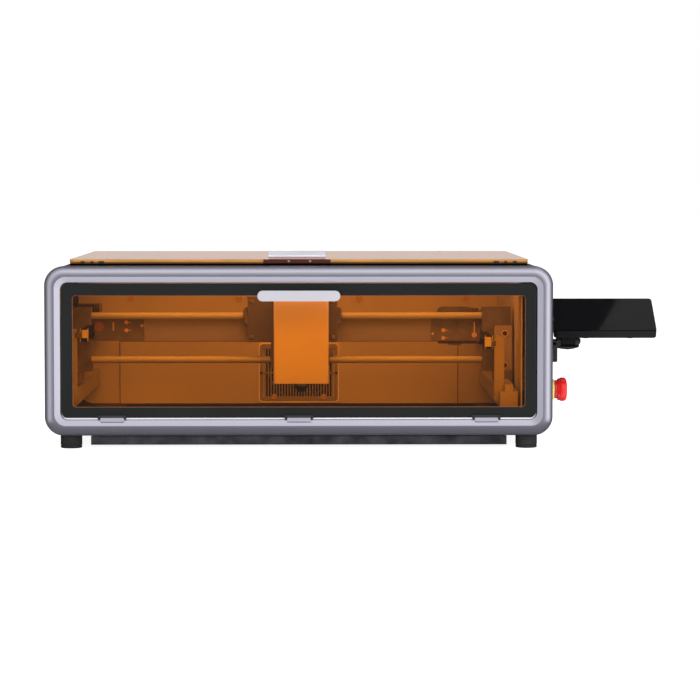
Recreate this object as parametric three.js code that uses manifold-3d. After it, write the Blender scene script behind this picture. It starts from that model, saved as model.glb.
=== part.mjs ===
// Enclosed desktop laser engraver: a long low case with an amber front door, an amber top lid, a belt
// driven gantry with a laser head, a slide-out base tray, a tilting display and an emergency stop.
// Millimetres, +X right, +Y back, +Z up. The parts are laid out with x = 0 at the middle of the case,
// y = 0 at the front face of the bezel and z = 0 on the table. The whole group is then moved so that
// its origin is the middle of its footprint.

import * as THREE from "three";
import { mergeVertices } from "three/addons/utils/BufferGeometryUtils.js";
import Module from "manifold-3d";

const wasm = await Module();
wasm.setup();

// ---- Driving dimensions ----
const GAP = 0.3; // clearance between neighbouring solids
const CASE_WIDTH = 567;
const CASE_DEPTH = 467;
const CASE_BOTTOM = 14.5;
const CASE_TOP = 203.5;
const CORNER_RADIUS = 21.5;
const SHEET = 2.5; // wall of the outer shells
const SHELL_INSET = 0.8; // how far the shells stand inside the bezel's outline
const SHELL_LIP_X = 245; // inner end of the side shells' top and bottom lips
const BEZEL_WIDTH = 18;
const BEZEL_DEPTH = 26;
const BEZEL_CREST = 11.5; // from the outer edge to the crest of the rounded band
const OPENING_RADIUS = 8;

const DOOR_FACE_Y = 4;
const DOOR_GAP = 0.8;
const DOOR_BORDER_BOTTOM = 35;
const DOOR_GLASS = { left: -252, right: 252.5, bottom: 46.5, top: 171.2, radius: 3.5 };
const DOOR_HINGE = { y: 3, z: 35.6, lugs: [-208, 0, 209], lugHalf: 13, radius: 2.3, ear: 2.4, pin: 1.1 };

const LID = { halfWidth: 258, front: 42, back: 442, bottom: 206.1, top: 210.4, radius: 8 };
const LID_HINGE = { y: 449, z: 205.5, radius: 2.6, xs: [-190, 190], half: 20, knuckleHalf: 12 };

const FLOOR_TOP = 18.2;
const TRAY = { halfWidth: 232.25, front: 12, back: 440, bottom: 4, top: 13.8 };
const CHANNEL = { inner: 225, outer: 232, web: 230, low: 6.2, slotLow: 9.5, slotHigh: 12 };
const PARTITION_X = 249;
const REAR_WALL_Y = 438.5;

const ROD = { y: 150, upper: 142, lower: 91, radius: 4, left: -262, right: 232 };
const BELT = { inner: 6.2, outer: 7.1, width: 6 };
const BEAM = { left: -181, right: 153, front: 161, back: 165, bottom: 112, top: 138 };
const Y_AXIS = { front: 60, back: 415, leftX: -243, rightX: 215, leftZ: 124, rightZ: 116 };
const X_AXIS = { left: -228, right: 183, y: 171, z: 129 };
const GANTRY_END = { top: 152, slider: { halfWidth: 10, halfLength: 22, bottom: 65, top: 79 } };
const RAIL = {
  leftX: -262,
  rightX: 236,
  top: 70,
  halfWidth: 4.5,
  beamHalf: 10,
  beamBottom: 44,
  beamTop: 62,
  front: 30,
  railBack: 388,
  beamBack: 436,
};

const HEAD = { left: -29, right: 33.6, front: 72, back: 125.7, bottom: 68, top: 165, fanY: 99 };
const KNOB = { y: 131, z: 100 };
const HEAD_X = (HEAD.left + HEAD.right) / 2;

const EXHAUST = { x: -2, z: 59.5, fanHalf: 40, duct: 37.5 };
const ESTOP = { y: 90, z: 60.3 };
const DISPLAY = { left: 287.5, right: 403.3, frontY: 40, frontZ: 130.4, length: 67, thick: 10.5 };
const DISPLAY_TILT = THREE.MathUtils.degToRad(30.3);
const DISPLAY_HINGE = { y: 62, z: 117 };
const INLET = { x: 264, z: 71, bodyHalfX: 9, bodyHalfZ: 18 };
const SIDE_VENT = { count: 8, firstY: 240, pitch: 14, width: 5, bottom: 70, top: 130 };
const REAR_VENT = { count: 8, firstX: 140, pitch: 12, width: 4.5, bottom: 130, top: 172 };

const SHELL_X = CASE_WIDTH / 2 - SHELL_INSET;
const SHELL_BOTTOM = CASE_BOTTOM + SHELL_INSET;
const SHELL_TOP = CASE_TOP - SHELL_INSET;
const SHELL_BACK = CASE_DEPTH - SHEET - GAP;
const OPENING_X = CASE_WIDTH / 2 - BEZEL_WIDTH;
const OPENING_TOP = CASE_TOP - BEZEL_WIDTH;

// ---- Materials ----
function finish(color, roughness, metalness) {
  return new THREE.MeshStandardMaterial({ color, roughness, metalness });
}

function amber() {
  const material = finish(0xe07a1c, 0.12, 0);
  material.transparent = true;
  material.opacity = 0.45;
  return material;
}

const bezelPaint = finish(0xb9b7cc, 0.35, 0.6);
const shellPaint = finish(0x26262b, 0.55, 0.3);
const trayPaint = finish(0x403e48, 0.5, 0.4);
const innerSheet = finish(0x8d8f92, 0.5, 0.5);
const rubber = finish(0x151517, 0.85, 0);
const blackPlastic = finish(0x17171a, 0.45, 0);
const blackGloss = finish(0x2a2b2c, 0.12, 0);
const handleMetal = finish(0xd8d6df, 0.3, 0.5);
const steel = finish(0xc6c8ca, 0.2, 0.95);
const aluminium = finish(0xa9abae, 0.35, 0.85);
const beltRubber = finish(0x1b1b1b, 0.8, 0);
const circuitGreen = finish(0x1f5f3f, 0.6, 0);
const redPlastic = finish(0xc41220, 0.35, 0);
const yellowPlastic = finish(0xe8b23a, 0.45, 0);
const lensGlass = finish(0xdfeaf2, 0.05, 0);

// ---- Solids ----
function toSolid(geometry) {
  const bare = geometry.clone();
  bare.deleteAttribute("normal");
  bare.deleteAttribute("uv");
  const merged = mergeVertices(bare, 1e-4);
  return new wasm.Manifold(
    new wasm.Mesh({
      numProp: 3,
      vertProperties: new Float32Array(merged.attributes.position.array),
      triVerts: new Uint32Array(merged.index.array),
    }),
  );
}

function toGeometry(solid) {
  const mesh = solid.getMesh();
  const geometry = new THREE.BufferGeometry();
  geometry.setAttribute("position", new THREE.BufferAttribute(mesh.vertProperties, 3));
  geometry.setIndex(new THREE.BufferAttribute(mesh.triVerts, 1));
  geometry.computeVertexNormals();
  return geometry;
}

function join(first, ...others) {
  return toGeometry(others.reduce((sum, next) => sum.add(toSolid(next)), toSolid(first)));
}

function cut(first, ...tools) {
  return toGeometry(tools.reduce((left, tool) => left.subtract(toSolid(tool)), toSolid(first)));
}

function overlap(first, second) {
  return toGeometry(toSolid(first).intersect(toSolid(second)));
}

function block(x0, x1, y0, y1, z0, z1) {
  const geometry = new THREE.BoxGeometry(x1 - x0, y1 - y0, z1 - z0);
  return geometry.translate((x0 + x1) / 2, (y0 + y1) / 2, (z0 + z1) / 2);
}

function roundedRect(x0, x1, z0, z1, radius, path = new THREE.Shape()) {
  path.moveTo(x0 + radius, z0);
  path.lineTo(x1 - radius, z0);
  path.absarc(x1 - radius, z0 + radius, radius, -Math.PI / 2, 0, false);
  path.lineTo(x1, z1 - radius);
  path.absarc(x1 - radius, z1 - radius, radius, 0, Math.PI / 2, false);
  path.lineTo(x0 + radius, z1);
  path.absarc(x0 + radius, z1 - radius, radius, Math.PI / 2, Math.PI, false);
  path.lineTo(x0, z0 + radius);
  path.absarc(x0 + radius, z0 + radius, radius, Math.PI, Math.PI * 1.5, false);
  return path;
}

function hole(x0, x1, z0, z1, radius) {
  return roundedRect(x0, x1, z0, z1, radius, new THREE.Path());
}

function circle(x, z, radius, path = new THREE.Path()) {
  for (let quarter = 0; quarter < 4; quarter += 1) {
    const start = (quarter * Math.PI) / 2;
    path.absarc(x, z, radius, start, start + Math.PI / 2, false);
  }
  return path;
}

function polygon(points) {
  return new THREE.Shape(points.map(([u, v]) => new THREE.Vector2(u, v)));
}

function extrude(shape, depth, curveSegments) {
  return new THREE.ExtrudeGeometry(shape, { depth, curveSegments, bevelEnabled: false });
}

// A shape drawn in X and Z, from y0 to y1.
function alongY(shape, y0, y1, curveSegments = 3) {
  return extrude(shape, y1 - y0, curveSegments).rotateX(Math.PI / 2).translate(0, y1, 0);
}

// A shape drawn in Y and Z, from x0 to x1.
function alongX(shape, x0, x1, curveSegments = 5) {
  const basis = new THREE.Matrix4().makeBasis(
    new THREE.Vector3(0, 1, 0),
    new THREE.Vector3(0, 0, 1),
    new THREE.Vector3(1, 0, 0),
  );
  return extrude(shape, x1 - x0, curveSegments).applyMatrix4(basis).translate(x0, 0, 0);
}

// A shape drawn in X and Y, from z0 to z1.
function alongZ(shape, z0, z1, curveSegments = 3) {
  return extrude(shape, z1 - z0, curveSegments).translate(0, 0, z0);
}

function rodX(y, z, radius, x0, x1, sides = 16) {
  const geometry = new THREE.CylinderGeometry(radius, radius, x1 - x0, sides);
  return geometry.rotateZ(Math.PI / 2).translate((x0 + x1) / 2, y, z);
}

function rodY(x, z, radius, y0, y1, sides = 16) {
  return new THREE.CylinderGeometry(radius, radius, y1 - y0, sides).translate(x, (y0 + y1) / 2, z);
}

function rodZ(x, y, radius, z0, z1, sides = 16) {
  const geometry = new THREE.CylinderGeometry(radius, radius, z1 - z0, sides);
  return geometry.rotateX(Math.PI / 2).translate(x, y, (z0 + z1) / 2);
}

// A closed profile of [inset, y] points carried round the outline of the case. The corner radius
// shrinks from the outside to the opening.
function sweptFrame(profile, cornerSteps) {
  const taper = (CORNER_RADIUS - OPENING_RADIUS) / BEZEL_WIDTH;
  const middleZ = (CASE_BOTTOM + CASE_TOP) / 2;
  const positions = [];
  const indices = [];
  for (const [inset, y] of profile) {
    const radius = CORNER_RADIUS - taper * inset;
    const cornerX = CASE_WIDTH / 2 - inset - radius;
    const cornerZ = (CASE_TOP - CASE_BOTTOM) / 2 - inset - radius;
    for (let corner = 0; corner < 4; corner += 1) {
      const sideX = corner === 0 || corner === 3 ? 1 : -1;
      const sideZ = corner < 2 ? 1 : -1;
      for (let step = 0; step <= cornerSteps; step += 1) {
        const angle = ((corner + step / cornerSteps) * Math.PI) / 2;
        const x = sideX * cornerX + radius * Math.cos(angle);
        positions.push(x, y, middleZ + sideZ * cornerZ + radius * Math.sin(angle));
      }
    }
  }
  const around = 4 * (cornerSteps + 1);
  profile.forEach((_, row) => {
    const next = (row + 1) % profile.length;
    for (let i = 0; i < around; i += 1) {
      const j = (i + 1) % around;
      indices.push(row * around + i, row * around + j, next * around + i);
      indices.push(next * around + i, row * around + j, next * around + j);
    }
  });
  const geometry = new THREE.BufferGeometry();
  geometry.setAttribute("position", new THREE.Float32BufferAttribute(positions, 3));
  geometry.setIndex(indices);
  return geometry;
}

// ---- The group ----
const machine = new THREE.Group();

function add(name, geometry, material) {
  const mesh = new THREE.Mesh(geometry, material);
  mesh.name = name;
  machine.add(mesh);
  return mesh;
}

// ---- Case ----
function bezelProfile() {
  const bandDepth = 10;
  const chamferBack = 3.2;
  const bandSteps = 6;
  const profile = [[0, BEZEL_DEPTH]];
  for (let i = 0; i <= bandSteps; i += 1) {
    const angle = ((i / bandSteps) * Math.PI) / 2;
    profile.push([BEZEL_CREST * (1 - Math.cos(angle)), bandDepth * (1 - Math.sin(angle))]);
  }
  profile.push([BEZEL_WIDTH, chamferBack], [BEZEL_WIDTH, BEZEL_DEPTH]);
  return profile;
}

// The ring round the door. Three lugs behind its bottom lip reach forward to the door's hinge pins.
function frontBezel() {
  const { y, z, lugs, lugHalf, radius, pin } = DOOR_HINGE;
  const lipBack = 3.3;
  const lipTop = CASE_BOTTOM + BEZEL_WIDTH;
  let bezel = sweptFrame(bezelProfile(), 6);
  for (const x of lugs) {
    const post = block(x - lugHalf, x + lugHalf, lipBack, y + radius, lipTop - 2, z);
    bezel = join(bezel, post, rodX(y, z, radius, x - lugHalf, x + lugHalf, 12));
    bezel = cut(bezel, rodX(y, z, pin + GAP, x - lugHalf - 1, x + lugHalf + 1, 10));
  }
  return bezel;
}

function shellTube() {
  const outer = roundedRect(-SHELL_X, SHELL_X, SHELL_BOTTOM, SHELL_TOP, CORNER_RADIUS - SHELL_INSET);
  const inner = hole(
    SHEET - SHELL_X,
    SHELL_X - SHEET,
    SHELL_BOTTOM + SHEET,
    SHELL_TOP - SHEET,
    CORNER_RADIUS - SHELL_INSET - SHEET,
  );
  outer.holes.push(inner);
  return alongY(outer, BEZEL_DEPTH + GAP, SHELL_BACK);
}

function sideShell(side) {
  const x0 = side > 0 ? SHELL_LIP_X : -SHELL_X - 1;
  const x1 = side > 0 ? SHELL_X + 1 : -SHELL_LIP_X;
  return overlap(shellTube(), block(x0, x1, 0, CASE_DEPTH, 0, CASE_TOP));
}

// The right shell also carries the emergency stop's hole and the electronics' vent slots.
function rightSideShell() {
  const slots = [];
  const through = [SHELL_X - SHEET - 1, SHELL_X + 1];
  const { count, firstY, pitch, width, bottom, top } = SIDE_VENT;
  for (let i = 0; i < count; i += 1) {
    const y = firstY + i * pitch;
    slots.push(block(...through, y, y + width, bottom, top));
  }
  const stopHole = rodX(ESTOP.y, ESTOP.z, 9, ...through);
  return cut(sideShell(1), stopHole, ...slots);
}

function rearPanel() {
  const plate = roundedRect(-SHELL_X, SHELL_X, SHELL_BOTTOM, SHELL_TOP, CORNER_RADIUS - SHELL_INSET);
  plate.holes.push(circle(EXHAUST.x, EXHAUST.z, EXHAUST.duct + 1));
  const through = [CASE_DEPTH - SHEET - 1, CASE_DEPTH + 1];
  const { x: inletX, z: inletZ, bodyHalfX, bodyHalfZ } = INLET;
  const room = 0.5;
  const inletXs = [inletX - bodyHalfX - room, inletX + bodyHalfX + room];
  const inletZs = [inletZ - bodyHalfZ - room, inletZ + bodyHalfZ + room];
  const openings = [block(...inletXs, ...through, ...inletZs)];
  const { count, firstX, pitch, width, bottom, top } = REAR_VENT;
  for (let i = 0; i < count; i += 1) {
    const x = firstX + i * pitch;
    openings.push(block(x, x + width, ...through, bottom, top));
  }
  return cut(alongY(plate, CASE_DEPTH - SHEET, CASE_DEPTH), ...openings);
}

// A strip across the top with a stiffening flange along its inner edge.
function topRail(front, back, flangeFront) {
  const half = SHELL_LIP_X - GAP;
  const strip = block(-half, half, front, back, SHELL_TOP - SHEET, SHELL_TOP);
  const flange = block(-half, half, flangeFront, flangeFront + 2, 188, SHELL_TOP - SHEET + 0.5);
  return join(strip, flange);
}

// The rear rail also carries the fixed half of both lid hinges, with their pins.
function topRearRail() {
  const { y, z, radius, xs, half, knuckleHalf } = LID_HINGE;
  let rail = topRail(432, SHELL_BACK, 432);
  for (const x of xs) {
    for (const side of [-1, 1]) {
      const ends = [x + side * (knuckleHalf + GAP), x + side * half].sort((a, b) => a - b);
      const post = block(ends[0], ends[1], y - radius, y + radius, SHELL_TOP - 1, z);
      rail = join(rail, post, rodX(y, z, radius, ends[0], ends[1], 12));
    }
    rail = join(rail, rodX(y, z, 1.2, x - half + 2, x + half - 2, 10));
  }
  return rail;
}

// The floor round the work opening, with the channels that the base tray slides in.
function baseFrame() {
  const half = SHELL_LIP_X - GAP;
  const bottom = FLOOR_TOP - SHEET;
  const plate = new THREE.Shape();
  const front = BEZEL_DEPTH + GAP;
  roundedRect(-half, half, front, SHELL_BACK, 1, plate);
  plate.holes.push(hole(-218, 218, 42, 424, 6));
  const { inner, outer, web, low, slotLow, slotHigh } = CHANNEL;
  const channels = [-1, 1].map((side) => {
    const section = polygon([
      [side * inner, bottom + 0.5],
      [side * outer, bottom + 0.5],
      [side * outer, low],
      [side * inner, low],
      [side * inner, slotLow],
      [side * web, slotLow],
      [side * web, slotHigh],
      [side * inner, slotHigh],
    ]);
    return alongY(section, front, TRAY.back - 10);
  });
  return join(alongZ(plate, bottom, FLOOR_TOP, 2), ...channels);
}

// A shallow pan with a wide front panel and side flanges that run in the base frame's channels.
function baseTray() {
  const panHalf = 224;
  const panel = block(-TRAY.halfWidth, TRAY.halfWidth, TRAY.front, 16, TRAY.bottom, TRAY.top);
  const pan = block(-panHalf, panHalf, 15.5, TRAY.back, 5, TRAY.top);
  const flanges = block(-229.5, 229.5, 27, TRAY.back - 10, 10, 11.5);
  const hollow = block(2 - panHalf, panHalf - 2, 18, TRAY.back - 2, 7, TRAY.top + 1);
  return cut(join(panel, pan, flanges), hollow);
}

// The chamber's back wall: a sheet with a raised lower panel and the exhaust opening.
function rearInnerPanel() {
  const opening = [EXHAUST.x - 42, EXHAUST.x + 42, 26, 88];
  const sheet = roundedRect(-279, 279, FLOOR_TOP + GAP, 199, 17.8);
  sheet.holes.push(hole(...opening, 4));
  const raised = roundedRect(-226.7, 198, FLOOR_TOP + GAP, 96, 1);
  raised.holes.push(hole(...opening, 4));
  const leftOfPartition = block(-280, PARTITION_X - GAP, 0, CASE_DEPTH, 0, CASE_TOP);
  const back = overlap(alongY(sheet, REAR_WALL_Y, REAR_WALL_Y + 1.5), leftOfPartition);
  return join(back, alongY(raised, REAR_WALL_Y - 1.5, REAR_WALL_Y + 0.5, 1));
}

function exhaustGrille() {
  const frame = roundedRect(EXHAUST.x - 50, EXHAUST.x + 50, 20, 94, 5);
  const thickness = 2.2;
  const front = REAR_WALL_Y - 1.5 - GAP - thickness;
  const slotCount = 12;
  const pitch = 90 / slotCount;
  const slots = [];
  for (let i = 0; i < slotCount; i += 1) {
    const x = EXHAUST.x - 45 + i * pitch + 1.3;
    slots.push(block(x, x + pitch - 2.6, front - 1, front + thickness + 1, 27, 87));
  }
  return cut(alongY(frame, front, front + thickness, 2), ...slots);
}

function fanHousing() {
  const { x, z, fanHalf, duct } = EXHAUST;
  const front = REAR_WALL_Y + 2.5;
  const frame = roundedRect(x - fanHalf, x + fanHalf, z - fanHalf, z + fanHalf, 4);
  frame.holes.push(circle(x, z, duct));
  const spokes = [-1, 1].map((side) => {
    const spoke = block(-duct - 1, duct + 1, front + 17.5, front + 20, -2, 2);
    return spoke.rotateY((side * Math.PI) / 4).translate(x, 0, z);
  });
  const disc = rodY(x, z, 13, front + 16, front + 20, 16);
  const pin = rodY(x, z, 2, front + 4, front + 17, 10);
  return join(alongY(frame, front, front + 20), ...spokes, disc, pin);
}

function fanBlades(count, innerRadius, outerRadius, depth, pitchAngle) {
  const blades = [];
  for (let i = 0; i < count; i += 1) {
    const length = outerRadius - innerRadius + 1.5;
    const blade = new THREE.BoxGeometry(length, 1.2, depth);
    blade.rotateX(pitchAngle).translate(innerRadius - 1.5 + length / 2, 0, 0);
    blades.push(blade.rotateZ((i * Math.PI * 2) / count));
  }
  return blades;
}

// A rotor that turns on +Z, with a bore for its pin.
function rotor(count, hubRadius, outerRadius, depth) {
  const hub = rodZ(0, 0, hubRadius, -depth / 2, depth / 2, 20);
  const bore = rodZ(0, 0, 2.4, -depth, depth, 10);
  return cut(join(hub, ...fanBlades(count, hubRadius, outerRadius, depth - 1, 0.7)), bore);
}

function exhaustCollar() {
  const { x, z, duct } = EXHAUST;
  const flange = roundedRect(x - 49, x + 49, z - 42, z + 50, 6);
  flange.holes.push(circle(x, z, duct));
  const tube = circle(x, z, duct + 2, new THREE.Shape());
  tube.holes.push(circle(x, z, duct));
  const front = CASE_DEPTH + GAP;
  return join(alongY(flange, front, front + 2.5), alongY(tube, front + 1, front + 27));
}

// The inlet socket and the rocker switch's frame, in one module.
function powerInlet() {
  const { x, z, bodyHalfX, bodyHalfZ } = INLET;
  const lip = 3;
  const flangeXs = [x - bodyHalfX - lip, x + bodyHalfX + lip];
  const flangeZs = [z - bodyHalfZ - lip, z + bodyHalfZ + lip];
  const flange = block(...flangeXs, CASE_DEPTH + GAP, CASE_DEPTH + 2.5, ...flangeZs);
  const bodyZs = [z - bodyHalfZ, z + bodyHalfZ];
  const body = block(x - bodyHalfX, x + bodyHalfX, CASE_DEPTH - 24, CASE_DEPTH + 1, ...bodyZs);
  const socket = rodY(x, z - 9, 4.4, CASE_DEPTH - 14, CASE_DEPTH + 5, 16);
  const well = block(x - 7.5, x + 7.5, CASE_DEPTH - 9, CASE_DEPTH + 5, z + 2, z + 17);
  return cut(join(flange, body), socket, well);
}

function powerRocker() {
  const y = CASE_DEPTH - 3;
  const rocker = polygon([
    [y - 5, -1.5],
    [y - 5, 1.5],
    [y + 4.2, 6.8],
    [y + 3.4, 0],
    [y + 5.6, -6.8],
    [y - 1, -6.2],
  ]);
  return alongX(rocker, INLET.x - 6.8, INLET.x + 6.8).translate(0, 0, INLET.z + 9.5);
}

function foot(x, y, top) {
  const profile = [
    [0, 0],
    [11.3, 0],
    [12.1, 1],
    [12.1, top - 0.8],
    [11.4, top],
    [0, top],
  ].map(([r, h]) => new THREE.Vector2(r, h));
  return new THREE.LatheGeometry(profile, 16).rotateX(Math.PI / 2).translate(x, y, 0);
}

function controlBoard() {
  const x = PARTITION_X + 5;
  const board = block(x, x + 1.6, 130, 300, 45, 150);
  const parts = [
    block(x + 1, x + 7, 200, 230, 80, 110),
    block(x + 1, x + 12, 140, 152, 55, 95),
    block(x + 1, x + 10, 280, 294, 60, 130),
    rodX(170, 130, 6, x + 1, x + 14, 12),
    rodX(186, 130, 6, x + 1, x + 14, 12),
  ];
  return join(board, ...parts);
}

function addCase() {
  add("front_bezel", frontBezel(), bezelPaint);
  add("left_side_shell", sideShell(-1), shellPaint);
  add("right_side_shell", rightSideShell(), shellPaint);
  add("rear_panel", rearPanel(), shellPaint);
  add("top_front_rail", topRail(BEZEL_DEPTH + GAP, 52, 50), shellPaint);
  add("top_rear_rail", topRearRail(), shellPaint);
  add("base_frame", baseFrame(), shellPaint);
  add("rear_inner_panel", rearInnerPanel(), innerSheet);
  const partition = [PARTITION_X, PARTITION_X + 1.5, BEZEL_DEPTH + GAP, SHELL_BACK - GAP];
  add("electronics_partition", block(...partition, FLOOR_TOP + GAP, 199), innerSheet);
  add("control_board", controlBoard(), circuitGreen);
  for (const [side, x] of [["left", -254.8], ["right", 254.8]]) {
    add(`foot_front_${side}`, foot(x, 22, CASE_BOTTOM - GAP), rubber);
    add(`foot_rear_${side}`, foot(x, 440, SHELL_BOTTOM - GAP), rubber);
  }
  add("exhaust_grille", exhaustGrille(), blackPlastic);
  add("exhaust_fan_housing", fanHousing(), blackPlastic);
  const fan = add("exhaust_fan_rotor", rotor(7, 15, 35.5, 12), blackPlastic);
  fan.rotation.x = Math.PI / 2;
  fan.position.set(EXHAUST.x, REAR_WALL_Y + 11.5, EXHAUST.z);
  add("exhaust_collar", exhaustCollar(), blackPlastic);
  add("power_inlet", powerInlet(), blackPlastic);
  add("power_rocker", powerRocker(), blackPlastic);
  add("base_tray", baseTray(), trayPaint);
}

// ---- Front door ----
function doorOutline(bottom, radius) {
  const half = OPENING_X - DOOR_GAP;
  return roundedRect(-half, half, bottom, OPENING_TOP - DOOR_GAP, radius);
}

// The dark border has a notch over each hinge lug.
function doorFrame() {
  const { left, right, bottom, top, radius } = DOOR_GLASS;
  const outline = doorOutline(DOOR_BORDER_BOTTOM, OPENING_RADIUS - DOOR_GAP);
  outline.holes.push(hole(left, right, bottom, top, radius));
  const { z, lugs, lugHalf, radius: lugRadius, ear } = DOOR_HINGE;
  const notchHalf = lugHalf + ear + 2 * GAP;
  const notches = lugs.map((x) => {
    const notchTop = z + lugRadius + 0.7;
    return block(x - notchHalf, x + notchHalf, 0, 20, DOOR_BORDER_BOTTOM - 1, notchTop);
  });
  return cut(alongY(outline, DOOR_FACE_Y, DOOR_FACE_Y + 2), ...notches);
}

function doorWindow() {
  const back = DOOR_FACE_Y + 2;
  return alongY(roundedRect(-259, 259, 43.8, 178, 5), back + GAP, back + GAP + 3, 2);
}

// The metal strip along the door's bottom edge, with a notch, two ears and a pin at each lug.
function doorHingeRail() {
  const bottom = 33;
  const top = 43.5;
  const back = 12.5;
  const notchTop = 41.2;
  const wide = [-OPENING_X, OPENING_X];
  const outline = doorOutline(bottom, OPENING_RADIUS - DOOR_GAP);
  const bar = overlap(alongY(outline, DOOR_FACE_Y, back), block(...wide, 0, back + 1, bottom - 1, top));
  const borderSeat = block(...wide, 0, DOOR_FACE_Y + 2 + GAP, DOOR_BORDER_BOTTOM - GAP, top + 1);
  let rail = cut(bar, borderSeat);
  const { y, z, lugs, lugHalf, radius, ear, pin } = DOOR_HINGE;
  const earInner = lugHalf + GAP;
  for (const x of lugs) {
    rail = cut(rail, block(x - earInner, x + earInner, 0, back + 1, bottom - 1, notchTop));
    for (const side of [-1, 1]) {
      const ends = [x + side * earInner, x + side * (earInner + ear)].sort((a, b) => a - b);
      const neck = block(ends[0], ends[1], y, DOOR_FACE_Y + 3, z - radius, z + radius);
      rail = join(rail, rodX(y, z, radius, ends[0], ends[1], 12), neck);
    }
    rail = join(rail, rodX(y, z, pin, x - earInner - 1, x + earInner + 1, 10));
  }
  return rail;
}

function addDoor() {
  add("door_frame", doorFrame(), blackGloss);
  add("door_window", doorWindow(), amber());
  add("door_hinge_rail", doorHingeRail(), handleMetal);
  const grip = roundedRect(-46, 46, 165, 176.6, 5.8);
  add("door_handle", alongY(grip, -5, DOOR_FACE_Y - GAP), handleMetal);
}

// ---- Top lid ----
function lidWindow() {
  const { halfWidth, front, back, bottom, top, radius } = LID;
  return alongZ(roundedRect(-halfWidth, halfWidth, front, back, radius), bottom, top, 2);
}

// A low wedge over the lid's front edge, with a lip down in front of the sheet.
function lidHandle() {
  const front = LID.front - GAP - 1.6;
  const wedge = polygon([
    [front, LID.bottom - 0.4],
    [LID.front - GAP, LID.bottom - 0.4],
    [LID.front - GAP, LID.top + GAP],
    [LID.front + 32, LID.top + GAP],
    [LID.front + 32, LID.top + 7.5],
    [LID.front + 28, LID.top + 9],
    [front + 1, LID.top + 3.8],
    [front, LID.top + 2.8],
  ]);
  return alongX(wedge, -34.5, 30);
}

// The moving half of a lid hinge: a leaf under the sheet and a knuckle round the pin.
function lidHingeLeaf(x) {
  const { y, z, radius, half, knuckleHalf } = LID_HINGE;
  const leafBottom = SHELL_TOP + 0.5;
  const leafTop = LID.bottom - GAP;
  const leaf = block(x - knuckleHalf, x + knuckleHalf, 418, y - 1, leafBottom, leafTop);
  const wide = block(x - half, x + half, 418, 445, leafBottom, leafTop);
  const knuckle = rodX(y, z, radius, x - knuckleHalf, x + knuckleHalf, 12);
  return cut(join(leaf, wide, knuckle), rodX(y, z, 1.5, x - 30, x + 30, 10));
}

function addLid() {
  add("lid_window", lidWindow(), amber());
  add("lid_handle", lidHandle(), handleMetal);
  add("lid_hinge_leaf_left", lidHingeLeaf(LID_HINGE.xs[0]), steel);
  add("lid_hinge_leaf_right", lidHingeLeaf(LID_HINGE.xs[1]), steel);
}

// ---- Drives ----
function beltLoop(first, last, z) {
  const stadium = (radius, path) => {
    path.absarc(first, z, radius, Math.PI / 2, Math.PI * 1.5, false);
    path.absarc(last, z, radius, -Math.PI / 2, Math.PI / 2, false);
    return path;
  };
  const loop = stadium(BELT.outer, new THREE.Shape());
  loop.holes.push(stadium(BELT.inner, new THREE.Path()));
  return loop;
}

// A flanged belt wheel that turns on +Z, with a bore for its shaft.
function beltWheel() {
  const halfBelt = BELT.width / 2 + 0.4;
  const halfWheel = halfBelt + 1.2;
  const profile = [
    [2.8, -halfWheel],
    [8, -halfWheel],
    [8, -halfBelt],
    [5.9, -halfBelt],
    [5.9, halfBelt],
    [8, halfBelt],
    [8, halfWheel],
    [2.8, halfWheel],
    [2.8, -halfWheel],
  ].map(([r, h]) => new THREE.Vector2(r, h));
  return new THREE.LatheGeometry(profile, 14).rotateX(Math.PI / 2);
}

// A square stepper motor with its corners cut, its shaft on +Z from the middle of its face.
function stepperMotor(length, shaftLength) {
  const side = 21;
  const corner = 17;
  const outline = polygon([
    [-corner, -side],
    [corner, -side],
    [side, -corner],
    [side, corner],
    [corner, side],
    [-corner, side],
    [-side, corner],
    [-side, -corner],
  ]);
  const shaft = rodZ(0, 0, 2.5, -1, shaftLength, 10);
  return join(alongZ(outline, -length, 0), rodZ(0, 0, 11, -1, 1.6, 20), shaft);
}

// The beam and rail that one end of the gantry runs on, with the post and pin of the front belt wheel.
function yRail(railX, post, pin, wheelZ) {
  const { beamHalf, front, beamBack, railBack, beamBottom, beamTop } = RAIL;
  const beam = block(railX - beamHalf, railX + beamHalf, front, beamBack, beamBottom, beamTop);
  const edges = [railX - RAIL.halfWidth, railX + RAIL.halfWidth];
  const rail = block(...edges, front, railBack, beamTop - 1, RAIL.top);
  const reach = 7;
  const column = block(...post, Y_AXIS.front - reach, Y_AXIS.front + reach, 50, wheelZ + reach);
  return join(beam, rail, column, rodX(Y_AXIS.front, wheelZ, 2.5, ...pin, 10));
}

function addYDrive() {
  const { leftX, rightX, leftZ, rightZ, front, back } = Y_AXIS;
  const reach = BELT.width / 2;
  const left = { railX: RAIL.leftX, post: [-258, -251], pin: [-253, -238], beltX: leftX, z: leftZ };
  const right = { railX: RAIL.rightX, post: [221, 232], pin: [210, 227], beltX: rightX, z: rightZ };
  const leftMotor = { x: -249.5, length: 28, facing: 1 };
  const rightMotor = { x: 221.5, length: 26, facing: -1 };
  for (const [side, place, drive] of [["left", left, leftMotor], ["right", right, rightMotor]]) {
    const { railX, post, pin, beltX, z } = place;
    add(`y_rail_${side}`, yRail(railX, post, pin, z), aluminium);
    const motor = add(`y_motor_${side}`, stepperMotor(drive.length, 11.5), blackPlastic);
    motor.rotation.y = (drive.facing * Math.PI) / 2;
    motor.position.set(drive.x, back, z);
    add(`y_belt_${side}`, alongX(beltLoop(front, back, z), beltX - reach, beltX + reach), beltRubber);
    for (const [kind, y] of [["pulley", back], ["idler", front]]) {
      const wheel = add(`y_${kind}_${side}`, beltWheel(), aluminium);
      wheel.rotation.y = Math.PI / 2;
      wheel.position.set(beltX, y, z);
    }
  }
}

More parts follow.
